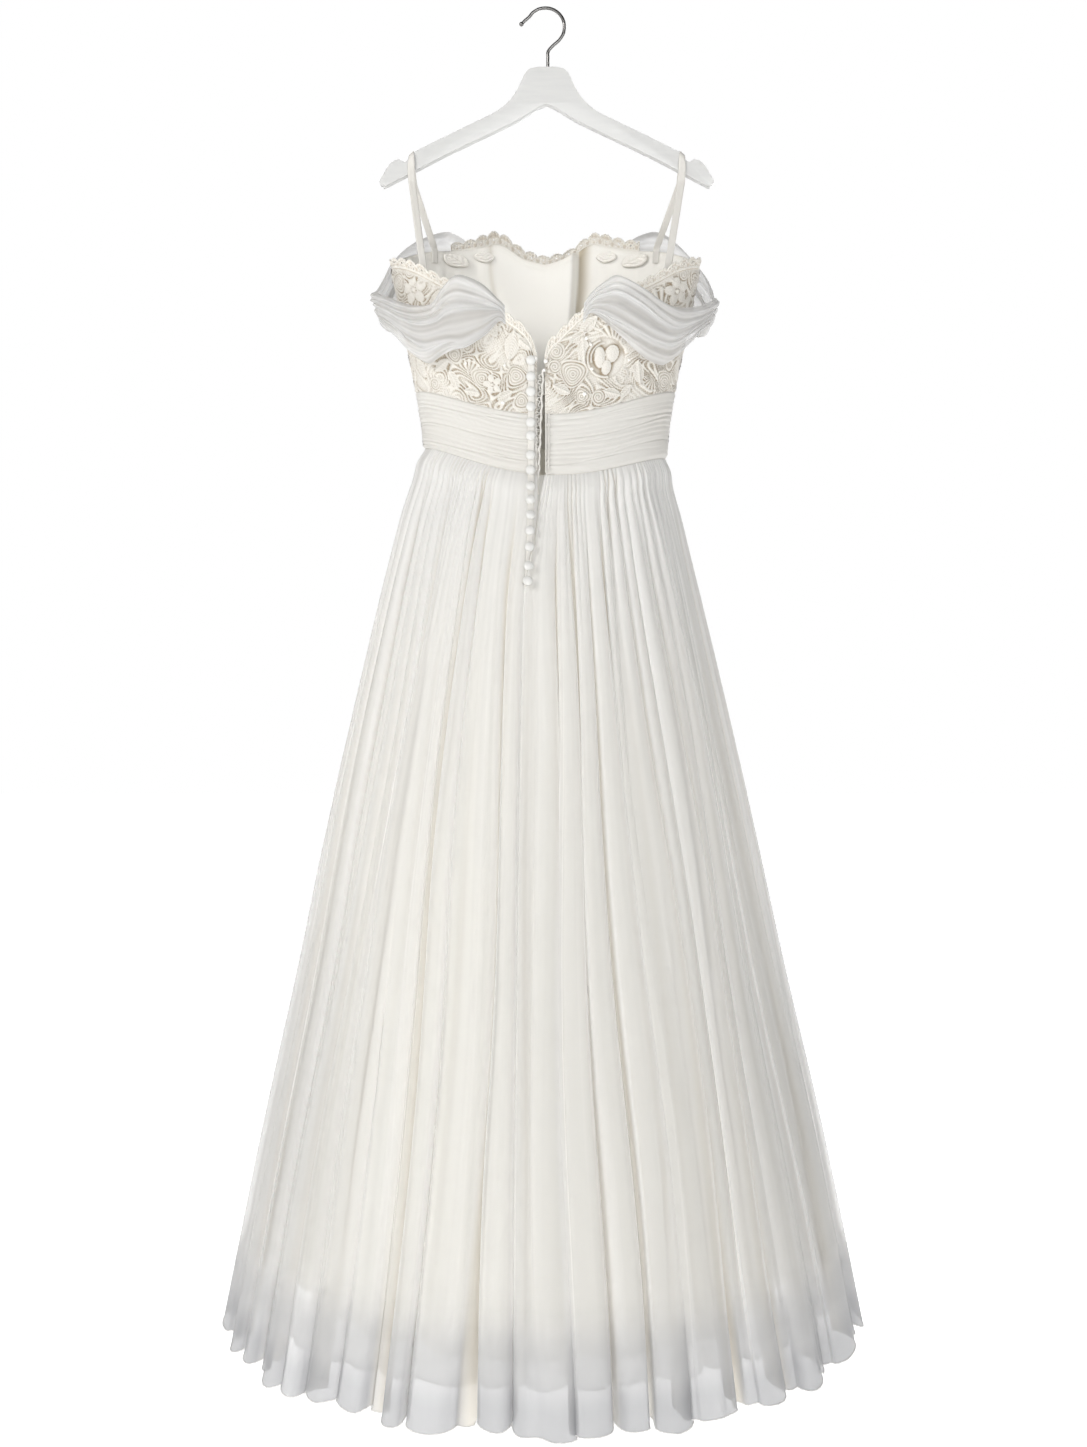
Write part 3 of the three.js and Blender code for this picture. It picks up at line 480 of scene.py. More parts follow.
def satin_look(name, light, dark, roughness=0.42, sheen=0.15, deep=None):
    """Woven satin: soft sheen, faint slubs and a fine weave, and with a deep colour, painted shade in its
    creases.
    """
    look, tree = new_look(name)
    colour = mix_colour(tree, ranged(tree, noise(tree, 9, 2), 0.3, 0.7), dark, light)
    # Painted shade: the deep colour is mixed in where the mesh marks shade in a crease
    if deep:
        colour = mix_colour(tree, attribute(tree, "crease"), colour, deep)
    weave = noise(tree, 900, 2, (1, 1, 0.25))
    rough = ranged(tree, noise(tree, 60, 2), 0, 1, roughness - 0.06, roughness + 0.06)
    end(tree, principled(tree, {
        "Base Color": colour, "Roughness": rough, "Normal": bump(tree, weave, 0.10, 0.0004),
        "Sheen Weight": sheen, "Sheen Roughness": 0.4, "Specular IOR Level": 0.35,
    }))
    return look


# Painted shade: the grey of net that hangs with no satin behind it, standing in for the shade it casts on
# itself
NET_SHADE_GREY = rgb(0.46, 0.462, 0.475)


def tulle_look(name, light, crease_shade_colour, through=0.28):
    """Fine net: how much it covers comes from the mesh, and light passes through its threads. Its colour
    holds painted shade: grey where it hangs thin, warm and dark in the hollows of its folds.
    """
    look, tree = new_look(name)
    # Painted shade: grey where the net hangs thin, then warm and dark in its fold hollows
    greyed_net = mix_colour(tree, attribute(tree, "thin"), light, NET_SHADE_GREY)
    colour = mix_colour(tree, attribute(tree, "crease"), greyed_net, crease_shade_colour)
    net = cells(tree, 700, "DISTANCE_TO_EDGE")
    outside = principled(tree, {
        "Base Color": colour, "Roughness": 0.65, "Normal": bump(tree, net, 0.15, 0.0004),
        "Sheen Weight": 0.2, "Sheen Roughness": 0.5, "Specular IOR Level": 0.2,
    })
    inside = node(tree, "ShaderNodeBsdfTranslucent", {"Color": colour}).outputs[0]
    clear = node(tree, "ShaderNodeBsdfTransparent").outputs[0]
    cloth = mix_shader(tree, through, outside, inside)
    end(tree, mix_shader(tree, attribute(tree, "cover"), clear, cloth))
    return look


def lace_look(name, light, shade, stitch=0.5):
    """Corded lace: the mesh says how deep each point lies between its neighbours, and shade is painted
    there.
    """
    look, tree = new_look(name)
    thread = cells(tree, 620, "F1")
    # Painted shade: the lace turns to its shade colour where it lies deep between its neighbours
    deep = mix_colour(tree, attribute(tree, "hollow"), light, shade)
    colour = mix_colour(tree, ranged(tree, thread, 0.25, 0.9, 0, 0.2), deep, rgb(0.66, 0.6, 0.5))
    end(tree, principled(tree, {
        "Base Color": colour, "Roughness": 0.62, "Normal": bump(tree, thread, stitch, 0.0006),
        "Sheen Weight": 0.12, "Specular IOR Level": 0.3,
    }))
    return look


def paint_look(name):
    look, tree = new_look(name)
    grain = noise(tree, 30, 4, (1, 1, 6))
    patches = ranged(tree, grain, 0.3, 0.7)
    end(tree, principled(tree, {
        "Base Color": mix_colour(tree, patches, rgb(0.63, 0.63, 0.62), rgb(0.67, 0.67, 0.655)),
        "Roughness": 0.38, "Normal": bump(tree, grain, 0.05, 0.0005),
        "Coat Weight": 0.2, "Coat Roughness": 0.25,
    }))
    return look


def steel_look(name):
    look, tree = new_look(name)
    brushed = noise(tree, 500, 2, (1, 1, 0.2))
    end(tree, principled(tree, {
        "Base Color": rgb(0.20, 0.195, 0.19), "Metallic": 1.0,
        "Roughness": ranged(tree, brushed, 0, 1, 0.16, 0.34), "Normal": bump(tree, brushed, 0.05, 0.0002),
    }))
    return look


SATIN = satin_look("satin", rgb(0.73, 0.71, 0.67), rgb(0.70, 0.68, 0.635))
LINING = satin_look("lining_satin", rgb(0.95, 0.935, 0.885), rgb(0.935, 0.915, 0.86), 0.5)
# The front lining's deep colour is painted shade for its fold, seams and top edge
FRONT_LINING = satin_look(
    "front_lining", rgb(0.97, 0.955, 0.91), rgb(0.955, 0.935, 0.885), 0.4, deep=rgb(0.47, 0.41, 0.31)
)
CHIFFON = satin_look("chiffon", rgb(0.69, 0.675, 0.64), rgb(0.66, 0.64, 0.60), 0.5)
BUTTON = satin_look("button_satin", rgb(0.76, 0.755, 0.735), rgb(0.72, 0.715, 0.69), 0.36)
PEARL = satin_look("pearl", rgb(0.93, 0.92, 0.89), rgb(0.90, 0.88, 0.84), 0.25)
# The second colour of each lace is the painted shade of its hollows
LACE = lace_look("corded_lace", rgb(0.76, 0.735, 0.685), rgb(0.30, 0.235, 0.155))
INNER_LACE = lace_look("inner_lace", rgb(0.95, 0.93, 0.885), rgb(0.60, 0.52, 0.42), 0.25)
EDGE_LACE = lace_look("edge_lace", rgb(0.83, 0.805, 0.75), rgb(0.48, 0.40, 0.30), 0.7)
TULLE = tulle_look("tulle", rgb(0.965, 0.96, 0.945), rgb(0.80, 0.76, 0.685))
UNDER_TULLE = tulle_look("under_tulle", rgb(0.955, 0.95, 0.935), rgb(0.84, 0.80, 0.73))
SLEEVE_TULLE = tulle_look("sleeve_tulle", rgb(0.88, 0.88, 0.88), rgb(0.66, 0.65, 0.63), 0.35)
PAINT = paint_look("painted_wood")
STEEL = steel_look("dark_steel")


# Lace relief: motifs overlaid on a fine net, in the arc and height of the bodice.
# A motif takes places across and up in shares of its size, and gives its height and its cover.


def domes(p, q, size, petals, height):
    """Smooth petals with corded outlines; each is x, y, half width, half height and turn."""
    rise, cover = np.zeros_like(p), np.zeros_like(p)
    for x, y, wide, tall, turn in petals:
        across, up = rotated(p - x, q - y, turn)
        reach = np.hypot(across / wide, up / tall)
        inside = ease((1.12 - reach) / 0.1)
        rim = (reach - 1.02) * min(wide, tall) * size
        here = height * np.sqrt(np.clip(1 - (reach / 1.05) ** 2, 0, 1)) + 0.9 * bell(rim, 0.8)
        rise = rise * (1 - inside) + here * inside
        cover = np.maximum(cover, inside)
    return rise, cover


def pansy(p, q, size):
    petals = ((0.30, 0.22, 0.34, 0.42, -14), (-0.30, 0.02, 0.27, 0.50, 8), (0.08, -0.46, 0.24, 0.34, -6))
    rise, cover = domes(p, q, size, petals, 2.3)
    reach, turn = np.hypot(p, q), np.degrees(np.arctan2(q, p)) % 360
    arcs = bell((reach - 0.92) * size, 1.1) * ((turn > 110) & (turn < 285))
    arcs = np.maximum(arcs, bell((reach - 0.74) * size, 0.8) * ((turn > 95) & (turn < 200)))
    swirl = bell((reach - 0.14) * size)
    rise = np.where(cover > 0.5, rise, 1.5 * arcs)
    rise = np.where(reach < 0.2, np.maximum(rise, 1.6 * swirl), rise)
    return rise, ease((1.08 - reach) / 0.1)


def flower(p, q, size):
    turns = np.arange(5) * TURN / 5
    petals = [(0.56 * math.sin(a), 0.56 * math.cos(a), 0.30, 0.40, -math.degrees(a)) for a in turns]
    rise, cover = domes(p, q, size, petals, 1.9)
    centre = np.hypot(p, q)
    bead = 2.4 * np.sqrt(np.clip(1 - (centre / 0.2) ** 2, 0, 1))
    return np.where(centre < 0.2, bead, rise), np.maximum(cover, centre < 0.2)


def leaf(p, q, size):
    half = 0.46 * np.clip(1 - q * q, 0, 1) ** 0.85 + 1e-6
    reach = np.abs(p) / half
    inside = ease((1.15 - reach) / 0.15) * (np.abs(q) < 0.99)
    veins = 0.32 * np.cos(TURN * (q * size / 3.4 + np.abs(p) * size / 3.0))
    rise = 1.3 * np.sqrt(np.clip(1 - reach**2, 0, 1)) + veins * np.clip(1 - reach, 0, 1)
    rise = rise + 0.8 * bell(p * size, 0.7) + 1.1 * bell((reach - 1) * half * size, 0.8)
    return rise, inside


def drop(p, q, size):
    """Paisley drop of cords laid one inside the next."""
    reach = np.hypot(p * (1 + 0.5 * q), q) / 0.95
    inside = ease((1.06 - reach) / 0.08)
    rise = 1.0 * np.sqrt(np.clip(1.05 - reach**2, 0, 1)) + 0.45 * np.cos(TURN * reach * size / 3.1)
    return rise + 0.9 * bell((reach - 0.97) * size), inside


def rosette(p, q, size):
    reach, turn = np.hypot(p, q), np.arctan2(q, p)
    inside = ease((1.06 - reach) / 0.1)
    rise = 1.2 * np.sqrt(np.clip(1.02 - reach**2, 0, 1)) + 0.5 * np.cos(TURN * reach * size / 3.0 - turn)
    return rise + 0.6 * bell((reach - 0.96) * size, 0.8), inside


def fan(p, q, size):
    reach, turn = np.hypot(p, q + 0.75), np.arctan2(p, q + 0.75)
    edge = 1.55 + 0.08 * np.cos(turn * 18)
    inside = ease((edge - reach) / 0.08) * (np.abs(turn) < 0.72) * (reach > 0.15)
    return 0.8 + 0.55 * np.cos(turn * 18) + 1.0 * bell((reach - edge + 0.06) * size, 0.8), inside


def scroll(p, q, size):
    """A curling cord with a second one beside it."""
    reach, turn = np.hypot(p, q), np.arctan2(q, p)
    wound = 0.25 + 0.7 * ((turn + math.pi) / TURN)
    line = np.maximum(bell((reach - wound) * size), 0.7 * bell((reach - wound - 0.14) * size, 0.7))
    return 1.5 * line, ease((1.1 - reach) / 0.1) * ease(line * 3)


MOTIF = {made.__name__: made for made in (pansy, flower, leaf, drop, rosette, fan, scroll)}

# Kind, place across and height on the back, size and turn in degrees
BACK_MOTIFS = (
    ("fan", 128, -352, 18, 30), ("flower", 150, -338, 17, 20), ("leaf", 168, -352, 15, -30),
    ("drop", 172, -326, 13, 40), ("rosette", 158, -318, 8, 0), ("leaf", 138, -322, 12, 60),
    ("scroll", 125, -400, 15, 10), ("leaf", 104, -352, 15, 50), ("fan", 92, -372, 15, -20),
    ("leaf", 72, -366, 14, 70), ("scroll", 60, -378, 12, 200), ("leaf", 48, -383, 14, -42),
    ("leaf", 36, -397, 11, -58), ("fan", 76, -391, 15, 12), ("leaf", 98, -404, 14, -58),
    ("drop", 31, -438, 17, 172), ("rosette", 12, -413, 11, 0), ("rosette", 10.5, -430, 8, 40),
    ("leaf", 43, -411, 15, 8), ("scroll", 88, -437, 13, 120), ("leaf", 106, -433, 14, 196),
    ("rosette", 112, -412, 7, 0), ("drop", 136, -440, 12, 170), ("leaf", 151, -424, 13, 20),
    ("fan", 120, -444, 11, 160), ("leaf", 18, -455, 12, 66), ("drop", 41, -463, 9, 150),
    ("leaf", 75, -458, 12, 80), ("rosette", 60, -463, 9, 0), ("leaf", 91, -455, 10, -40),
    ("pansy", 68, -419, 23, 0), ("rosette", 160, -396, 10, 0), ("leaf", 166, -376, 14, 10),
    ("leaf", -124, -352, 15, -30), ("flower", -150, -336, 18, 0), ("leaf", -170, -350, 15, 30),
    ("drop", -168, -324, 13, -40), ("rosette", -156, -316, 8, 0), ("leaf", -138, -324, 12, -60),
    ("scroll", -118, -384, 14, 60), ("leaf", -96, -366, 15, -50), ("fan", -80, -372, 14, 20),
    ("leaf", -62, -384, 14, 28), ("scroll", -42, -388, 11, 10), ("leaf", -24, -404, 12, 50),
    ("rosette", -89, -406, 6, 0), ("rosette", -92, -396, 5, 0), ("drop", -103, -414, 11, 190),
    ("fan", -84, -430, 12, -30), ("leaf", -118, -424, 12, -60), ("rosette", -126, -444, 8, 30),
    ("leaf", -104, -441, 12, 24), ("drop", -72, -442, 12, 176), ("drop", -33, -440, 13, 20),
    ("leaf", -38, -406, 17, -14), ("drop", -27, -468, 11, 0), ("leaf", -46, -462, 11, -64),
    ("leaf", -142, -424, 13, 20), ("fan", -150, -440, 11, 170), ("rosette", -158, -398, 10, 0),
    ("leaf", -166, -376, 14, -10), ("leaf", -84, -456, 10, 80), ("flower", -60, -449, 12, 10),
)
LACE_DEPTH = 1.35
LACE_MOST = 4.4
FRONT_KINDS = ("flower", "leaf", "drop", "fan", "rosette", "scroll", "leaf")
FRONT_PITCH = 27


def back_motifs():
    return [(kind, float(arc(angle_of_x(x, z))), z, size, turn) for kind, x, z, size, turn in BACK_MOTIFS]


def front_motifs(middle):
    """Motifs of the front in staggered rows about its middle."""
    made = []
    for row, level in enumerate(range(-268, -470, -24)):
        for column in range(-8, 9):
            kind = FRONT_KINDS[(row * 3 + column * 2) % len(FRONT_KINDS)]
            place = middle + column * FRONT_PITCH + (row % 2) * FRONT_PITCH / 2
            z = level + 3 * math.sin(column * 2.1 + row)
            size = 14 + 3 * math.sin(column + row * 2)
            made.append((kind, place, z, size, column * 50 + row * 35))
    return made


def overlay(rise, s, z, kind, s0, z0, size, turn):
    ds, dz = s - s0, z - z0
    near = np.hypot(ds, dz) < size * 1.7
    if not near.any():
        return rise
    p, q = rotated(ds[near], dz[near], turn)
    height, cover = MOTIF[kind](p / size, q / size, size)
    rise[near] = rise[near] * (1 - cover) + height * cover
    return rise


def lace_relief(angle, z, motifs):
    """Height of the lace over its ground, and how deep each point lies between its neighbours, which sets
    the painted shade of its hollows.
    """
    s = arc(angle)
    stitches = 0.34 * np.abs(np.sin(s * 1.15 + z * 0.45) * np.sin(z * 1.15 - s * 0.45))
    swirl = np.sin(s / 8.5 + 1.5 * np.sin(z / 10) + 0.7) + np.sin(z / 7.5 + 1.4 * np.sin(s / 12 + 1) - 0.4)
    winding = np.abs((swirl * 1.7 + 0.2 * np.sin(s / 5 + z / 7)) % 1 - 0.5)
    cords = 1.0 * ease((winding - 0.2) / 0.2) * (0.35 + 0.65 * ease(1.5 + np.sin(s / 19 + z / 23) * 2))
    rise = stitches + cords + 0.2
    for motif in motifs:
        rise = overlay(rise, s, z, *motif)
    hollow = np.clip((spread(rise, 16) - rise) * 1.9 - 0.1, 0, 1)
    return np.clip(rise * LACE_DEPTH, 0, LACE_MOST), hollow


# Bodice panels reach this far below the waistband's top edge
PANEL_TUCK = 3


def bodice_panel(node_name, angles, top_at, motifs, step):
    name = node_name + "_lace"
    top = top_at(angles)
    tall = top - edge_height(BAND_TOP, angles) + PANEL_TUCK
    v = np.linspace(0, 1, int(np.max(tall) / step) + 1)[:, None]
    z = top - tall * v
    angle = np.broadcast_to(angles, z.shape)
    rise, hollow = lace_relief(angle, z, motifs)
    fade = ease(v * 16) * ease((z - top + tall) / 5)
    out = SATIN_WALL / 2 - 0.3 * (1 - fade) + rise * fade
    shape = Shape()
    # Painted shade in the lace's hollows, fading out towards the panel's top and bottom
    shape.grid(body_point(angle, z, out), hollow=hollow * fade)
    few = np.append(angles[:: max(1, len(angles) // 60)], angles[-1])
    few_tall = top_at(few) - edge_height(BAND_TOP, few) + PANEL_TUCK
    inner_z = top_at(few) - few_tall * np.linspace(0, 1, 25)[:, None]
    inner = Shape()
    inner.grid(body_point(np.broadcast_to(few, inner_z.shape), inner_z, -SATIN_WALL / 2)[:, ::-1])
    panel = shape.make(name, LACE, (node_name,))
    backing = inner.make(name + "_facing", SATIN)


# Degrees from each side seam or princess seam to the panels beside it
SEAM_GAP = 0.06
PRINCESS = 22
LEFT_EDGE = float(angle_of_x(OPENING_LEFT_X, -440))
RIGHT_EDGE = float(angle_of_x(OPENING_RIGHT_X, -440))
BACK_STEP = 0.95
FRONT_STEP = 1.25


def make_bodice():
    back = back_motifs()
    front = front_motifs(float(arc(180)))
    far_front = front_motifs(-float(arc(180)))
    spans = (
        ("bodice_back_right", RIGHT_EDGE - SEAM_GAP, 90, right_neck, back, BACK_STEP),
        ("bodice_back_left", -90, LEFT_EDGE + SEAM_GAP, left_neck, back, BACK_STEP),
        ("bodice_side_right", 90, 180 - PRINCESS, front_neck, front, FRONT_STEP),
        ("bodice_front", 180 - PRINCESS, 180 + PRINCESS, front_neck, front, FRONT_STEP),
        ("bodice_side_left", PRINCESS - 180, -90, front_neck, far_front, FRONT_STEP),
    )
    for node_name, first, last, top_at, motifs, step in spans:
        angles = even_angles(first + SEAM_GAP, last - SEAM_GAP, step)
        bodice_panel(node_name, angles, top_at, motifs, step)


# Satin lining inside the front, with its princess seams and cup hollows


def make_lining():
    angles = even_angles(100, 260, 2.0)
    v = np.linspace(0, 1, 84)[:, None]
    top, bottom = front_neck(angles) - 0.6, edge_height(BAND_TOP, angles)
    z = top + (bottom - top) * v
    off = angles - 180 + 0 * z
    seam_right = -11.2 - 1.0 * ease((z + 390) / 110)
    seam_left = 14.5 + 6.0 * ease((z + 390) / 110)
    middle = ease((off - seam_right) / 1.6) * ease((seam_left - off) / 3.5)
    lean = np.clip((seam_left - off) / (seam_left - seam_right), 0, 1)
    inward = middle * (1.5 + 13 * lean**1.6) * ease((z + 470) / 60)
    inward = inward + 0.9 * bell((off - seam_left) * 1.3, 1) + 0.8 * bell((off - seam_right) * 1.6, 1)
    creases = np.sin(off * 0.62) * 1.4 + np.sin(off * 1.31 + 1) * 0.7
    creases = creases * np.exp(-(v * 4.2)) * (1 - middle * 0.6)
    soft = 1.3 * np.sin(off / 9 + v * 2) * np.sin(v * 5 + off / 17)
    hem = 0.7 * bell(v * 150 - 5, 1.1)
    depth = np.clip(inward + creases * 0.6 + soft * 0.5 + hem + 0.8, 0.2, 16)
    beside = off - seam_right
    shadow = ease(-beside / 0.9) * ease((beside + 7) / 6) * ease((z + 440) / 60)
    # Painted shadow beside the deep fold at the right princess seam, with painted shade along the left seam
    # and at the top edge
    crease = 0.95 * shadow + 0.35 * bell((off - seam_left - 0.9) * 1.1, 1) + 0.25 * np.exp(-(v * 30))
    shape = Shape()
    place = body_point(angles, z, -SATIN_WALL / 2 - LINING_GAP - depth)
    shape.grid(place[:, ::-1], crease=crease[:, ::-1])
    piece = shape.make("bodice_lining_satin", FRONT_LINING, ("bodice_lining",), wall=0.8)


# Scalloped lace edging, its picots and its piping

SCALLOP_TALL = 11
SCALLOP_DIP = 4.5
SCALLOP_PITCH = 13
SCALLOP_GAP = 0.65
PICOT_PITCH = 3.25
# Eyelets of one scallop: place from its middle, height and radius
EYELETS = ((0.0, 5.6, 1.35), (3.2, 2.3, 0.9), (-3.2, 2.3, 0.9), (3.7, 6.4, 0.85), (-3.7, 6.4, 0.85))


def scallop(s):
    """Height of the edging over its seam."""
    lobe = np.abs(np.sin(s * math.pi / SCALLOP_PITCH))
    size = 1 + 0.12 * np.sin(s / 21 + 1)
    picots = 0.7 * np.abs(np.sin(s * math.pi / PICOT_PITCH))
    return (SCALLOP_TALL - SCALLOP_DIP * (1 - lobe**0.7)) * size + picots - 0.6


def lace_edging(name, angles, top_at, node_name, seed, out, rise_more):
    s = arc(angles)
    tall = scallop(s + seed) * (1 + rise_more * bell(np.abs(angles % 360 - 180) - 21, 7))
    h = np.linspace(1, -0.25, 17)[:, None]
    z = top_at(angles) + SCALLOP_GAP * 0.3 + h * tall
    ripple = 0.9 * np.sin(s / 7 + seed) * h + 0.35 * np.sin(s * 1.9) * (h > 0.2)
    height = h * tall
    near = (s + seed) % SCALLOP_PITCH - SCALLOP_PITCH / 2
    hole = np.zeros(height.shape, bool)
    rim = np.zeros(height.shape)
    for x, y, radius in EYELETS:
        reach = np.hypot(near - x, height - y)
        hole |= reach < radius
        rim = np.maximum(rim, bell(reach - radius - 0.55, 0.6))
    arches = bell(height - tall + 1.4, 0.7) + bell(height - 0.3, 0.8)
    relief = 0.9 * np.clip(rim + arches, 0, 1.2)
    keep = ~(hole[:-1, :-1] & hole[1:, 1:])
    # Painted shade between the edging's raised rims and arches
    hollow = np.clip(0.75 - relief, 0, 1) * 0.8
    shape = Shape()
    shape.grid(body_point(angles, z, out + ripple + 0.5 + relief * 0.6), keep=keep, hollow=hollow)
    piece = shape.make(name, EDGE_LACE, (node_name,), wall=0.5)
    cords = Shape()
    top = top_at(angles)
    cords.tube(body_point(angles, top + tall, out + ripple[0] + 0.3), 0.75, 6, lean=(0.3, 0.2, 0.93))
    cords.tube(body_point(angles, top - 0.4, out + 0.4), 0.9, 6, lean=(0.1, 0.2, 0.97))
    cords.make(name + "_cords", EDGE_LACE, closed=True)


EDGING_STEP = 0.75


def make_edgings():
    spans = (
        ("lace_edging_front", 142, 218, front_neck, "lace_edge_front", 3, -1.8, 0.4),
        ("lace_edging_right", RIGHT_EDGE, 84, right_neck, "lace_edge_back_right", 1, 0.4, 0),
        ("lace_edging_left", -84, LEFT_EDGE, left_neck, "lace_edge_back_left", 8, 0.4, 0),
    )
    for name, first, last, *others in spans:
        lace_edging(name, even_angles(first, last, EDGING_STEP), *others)


# Ruched waistband

TUCKS = 9


def waistband(name, angles, node_name, seed):
    v = np.linspace(0, 1, 86)[:, None]
    top, bottom = edge_height(BAND_TOP, angles), edge_height(BAND_BOTTOM, angles)
    z = top + (bottom - top) * v
    s = arc(angles) + 0 * z
    wander = 0.55 * np.sin(s / 95 + seed) + 0.30 * np.sin(s / 41 + 2.1 * v + seed * 2)
    wander = wander + 0.10 * np.sin(s / 15 + 9 * v)
    pleats = tooth(v * 13 + wander, 0.8) * (0.6 + 0.4 * np.sin(s / 45 + 9 * v + seed))
    fine = tooth(v * 31 + 2.3 * wander, 0.65) * (0.5 + 0.5 * np.sin(s / 29 - 14 * v))
    rise = 0.75 * pleats + 0.32 * fine + 0.5
    for i in range(TUCKS):
        middle = (i + 0.5) / TUCKS + 0.035 * np.sin(s / 60 + i * 2.2 + seed) + 0.012 * np.sin(s / 23 + i)
        shows = ease(1.2 * np.sin(s / (38 + 5 * i) + i * 1.9 + seed) + 0.3)
        rise = rise - shows * bell((v - middle) * BAND_TALL, 0.95)
    piping = 0.5 * bell((v - 0.02) * BAND_TALL, 1.2)
    ends = ease(v * 20) * ease((1 - v) * 20)
    tuck_in = 0.6 * (1 - ease(v * 40)) + 1.8 * (1 - ease((1 - v) * 12))
    shape = Shape()
    shape.grid(body_point(angles, z, BAND_OUT + BAND_WALL / 2 + rise * ends + piping - tuck_in))
    piece = shape.make(name, CHIFFON, (node_name,))
    few = np.append(angles[::5], angles[-1])
    high, low = edge_height(BAND_TOP, few), edge_height(BAND_BOTTOM, few)
    share = np.linspace(0, 1, 9)[:, None]
    inside = Shape()
    inside.grid(body_point(few, high + (low - high) * share, BAND_OUT - BAND_WALL / 2)[:, ::-1])
    facing = inside.make(name + "_facing", SATIN)
    return piece


def make_waistband():
    right = even_angles(RIGHT_EDGE + 0.6, 90 - SEAM_GAP, 1.6)
    left = even_angles(SEAM_GAP - 90, LEFT_EDGE - 0.3, 1.6)
    front = even_angles(90 + SEAM_GAP, 270 - SEAM_GAP, 2.2)
    bands = (
        (waistband("band_back_right", right, "waistband_back_right", 0.4), 0.17),
        (waistband("band_back_left", left, "waistband_back_left", 2.2), 0.17),
        (waistband("band_front", front, "waistband_front", 4.1), 0.34),
    )
    edge = Shape()
    v = np.linspace(0, 1, 40)
    for offset in (1.0, 4.6):
        angle = angle_of_x(OPENING_RIGHT_X + offset, -480) + 0 * v
        top, bottom = edge_height(BAND_TOP, angle) + 1, edge_height(BAND_BOTTOM, angle) + 1
        edge.tube(body_point(angle, top + (bottom - top) * v, 4.6), 0.7, 6)
    edge.make("band_piping", SATIN, closed=True)


# Skirt


def skirt_size(column, down):
    return curve(SKIRT, "down", column, down)


def skirt_outline(angle, down, inward):
    across, along = turned(angle)
    depth = np.where(along > 0, skirt_size("back", down), skirt_size("front", down))
    x = skirt_size("centre", down) + (skirt_size("half", down) - inward) * across
    return x, -(depth - inward) * along


def skirt_height(angle, down, shorter):
    along = turned(angle)[1]
    top = edge_height(BAND_BOTTOM, angle) - SEAM
    bottom = HEM_SIDE - HEM_BACK_FALL * np.maximum(0, along) + HEM_FRONT_RISE * np.maximum(0, -along)
    return top + (bottom + shorter - top) * (down / SKIRT_LENGTH)


def per_degree(angle, down):
    """Millimetres round the skirt for each degree."""
    across, along = turned(angle)
    return np.hypot(skirt_size("half", down) * along, skirt_size("back", down) * across) * math.radians(1)


def flute_growth(down):
    share = down / SKIRT_LENGTH
    return np.minimum(1, 0.12 + 0.88 * share**0.8) * np.minimum(1, down / 120)


def uneven(angle, down, seed, waves=(2, 3, 5, 9, 14)):
    """Smooth unevenness round and down the skirt, between about -1 and 1."""
    total = 0
    for i, wave in enumerate(waves):
        turn = np.radians(angle) * wave + seed * (1.7 + i)
        total = total + np.sin(turn + down / SKIRT_LENGTH * (1.1 + i) * math.sin(seed + i * 2.3))
    return total / len(waves) * 1.5


def folds(angle, down, count, seed, deep, lap):
    """One set of narrow folds: how far in, and how far round in millimetres, each point lies."""
    phase = np.radians(angle) * count + 3.4 * uneven(angle, 0, seed) + 1.3 * uneven(angle, down, seed + 4)
    share = np.clip(0.34 + 1.5 * uneven(angle, down, seed + 9, (3, 7, 12, 19)), 0.03, 1.6)
    pitch = per_degree(angle, down) * 360 / count
    return share * deep * (0.5 - 0.5 * np.cos(phase)), np.sin(phase) * pitch * lap * np.clip(share, 0, 1)


def cover_of(points, angle, base, ring=False):
    """Share of what lies behind that cloth hides, and how far its folds turn edge-on to a viewer outside."""
    across, along = turned(angle)
    out = np.stack([across, -along, 0 * angle], -1)
    facing = np.abs(np.sum(normals(points, ring) * out, -1))
    return 1 - (1 - base) ** (1 / np.clip(facing, 0.13, 1)), ease((0.42 - facing) / 0.3)


def streaks(angle, down):
    """Fine unevenness of the net along its length."""
    fine = uneven(angle, 0.6 * down, 8.1, (83, 127, 181, 233))
    return fine * (0.6 + 0.4 * uneven(angle, down, 2.2, (5, 11, 17)))


def overlap_angle(z, down, side):
    """Angle of a back panel's open edge: the right one for a side of 1, the left one for -1."""
    gape = np.clip((z - OPENING_FOOT) / (edge_height(BAND_BOTTOM, 0) - OPENING_FOOT), 0, 1)
    right = (OPENING_RIGHT_X - OPENING_LEFT_X) * gape + SEAM
    place = curve(OVERLAP, "z", "x", z) + (right if side > 0 else 0) - skirt_size("centre", down)
    return np.degrees(np.arcsin(place / skirt_size("half", down)))


def levels(*stops):
    """A column of levels down the skirt; each stop is a level and the number of steps to it."""
    made = [0.0]
    for level, steps in stops:
        made += list(np.linspace(made[-1], level, steps + 1)[1:])
    return np.array(made)[:, None]


def flute_columns(first, last, density):
    """Columns over a run of flutes: number, middle, half width, place across and valley depth."""
    at, depth = VALLEYS["at"], VALLEYS["depth"]
    made = []
    for i in range(first, last):
        half = (at[i + 1] - at[i]) / 2
        for u in np.linspace(-1, 1, int(half * density) * 2, endpoint=False):
            made.append((i, at[i] + half, half, u, depth[i] if u < 0 else depth[i + 1]))
    made.append((last - 1, at[last - 1] + half, half, 1.0, depth[last]))
    return np.array(made).T


def thinness(angle, share, hem=1.0):
    """Where net hangs with no satin behind it: at the sides and along the hem. There it takes painted grey
    shade.
    """
    sides = ease((np.abs(turned(angle)[0]) - 0.60) / 0.32) * ease((share - 0.35) / 0.45)
    foot = 0.6 * ease((share - 0.875) / 0.06) + 0.4 * ease((share - 0.94) / 0.04)
    return np.maximum(0.22 * sides, hem * foot)


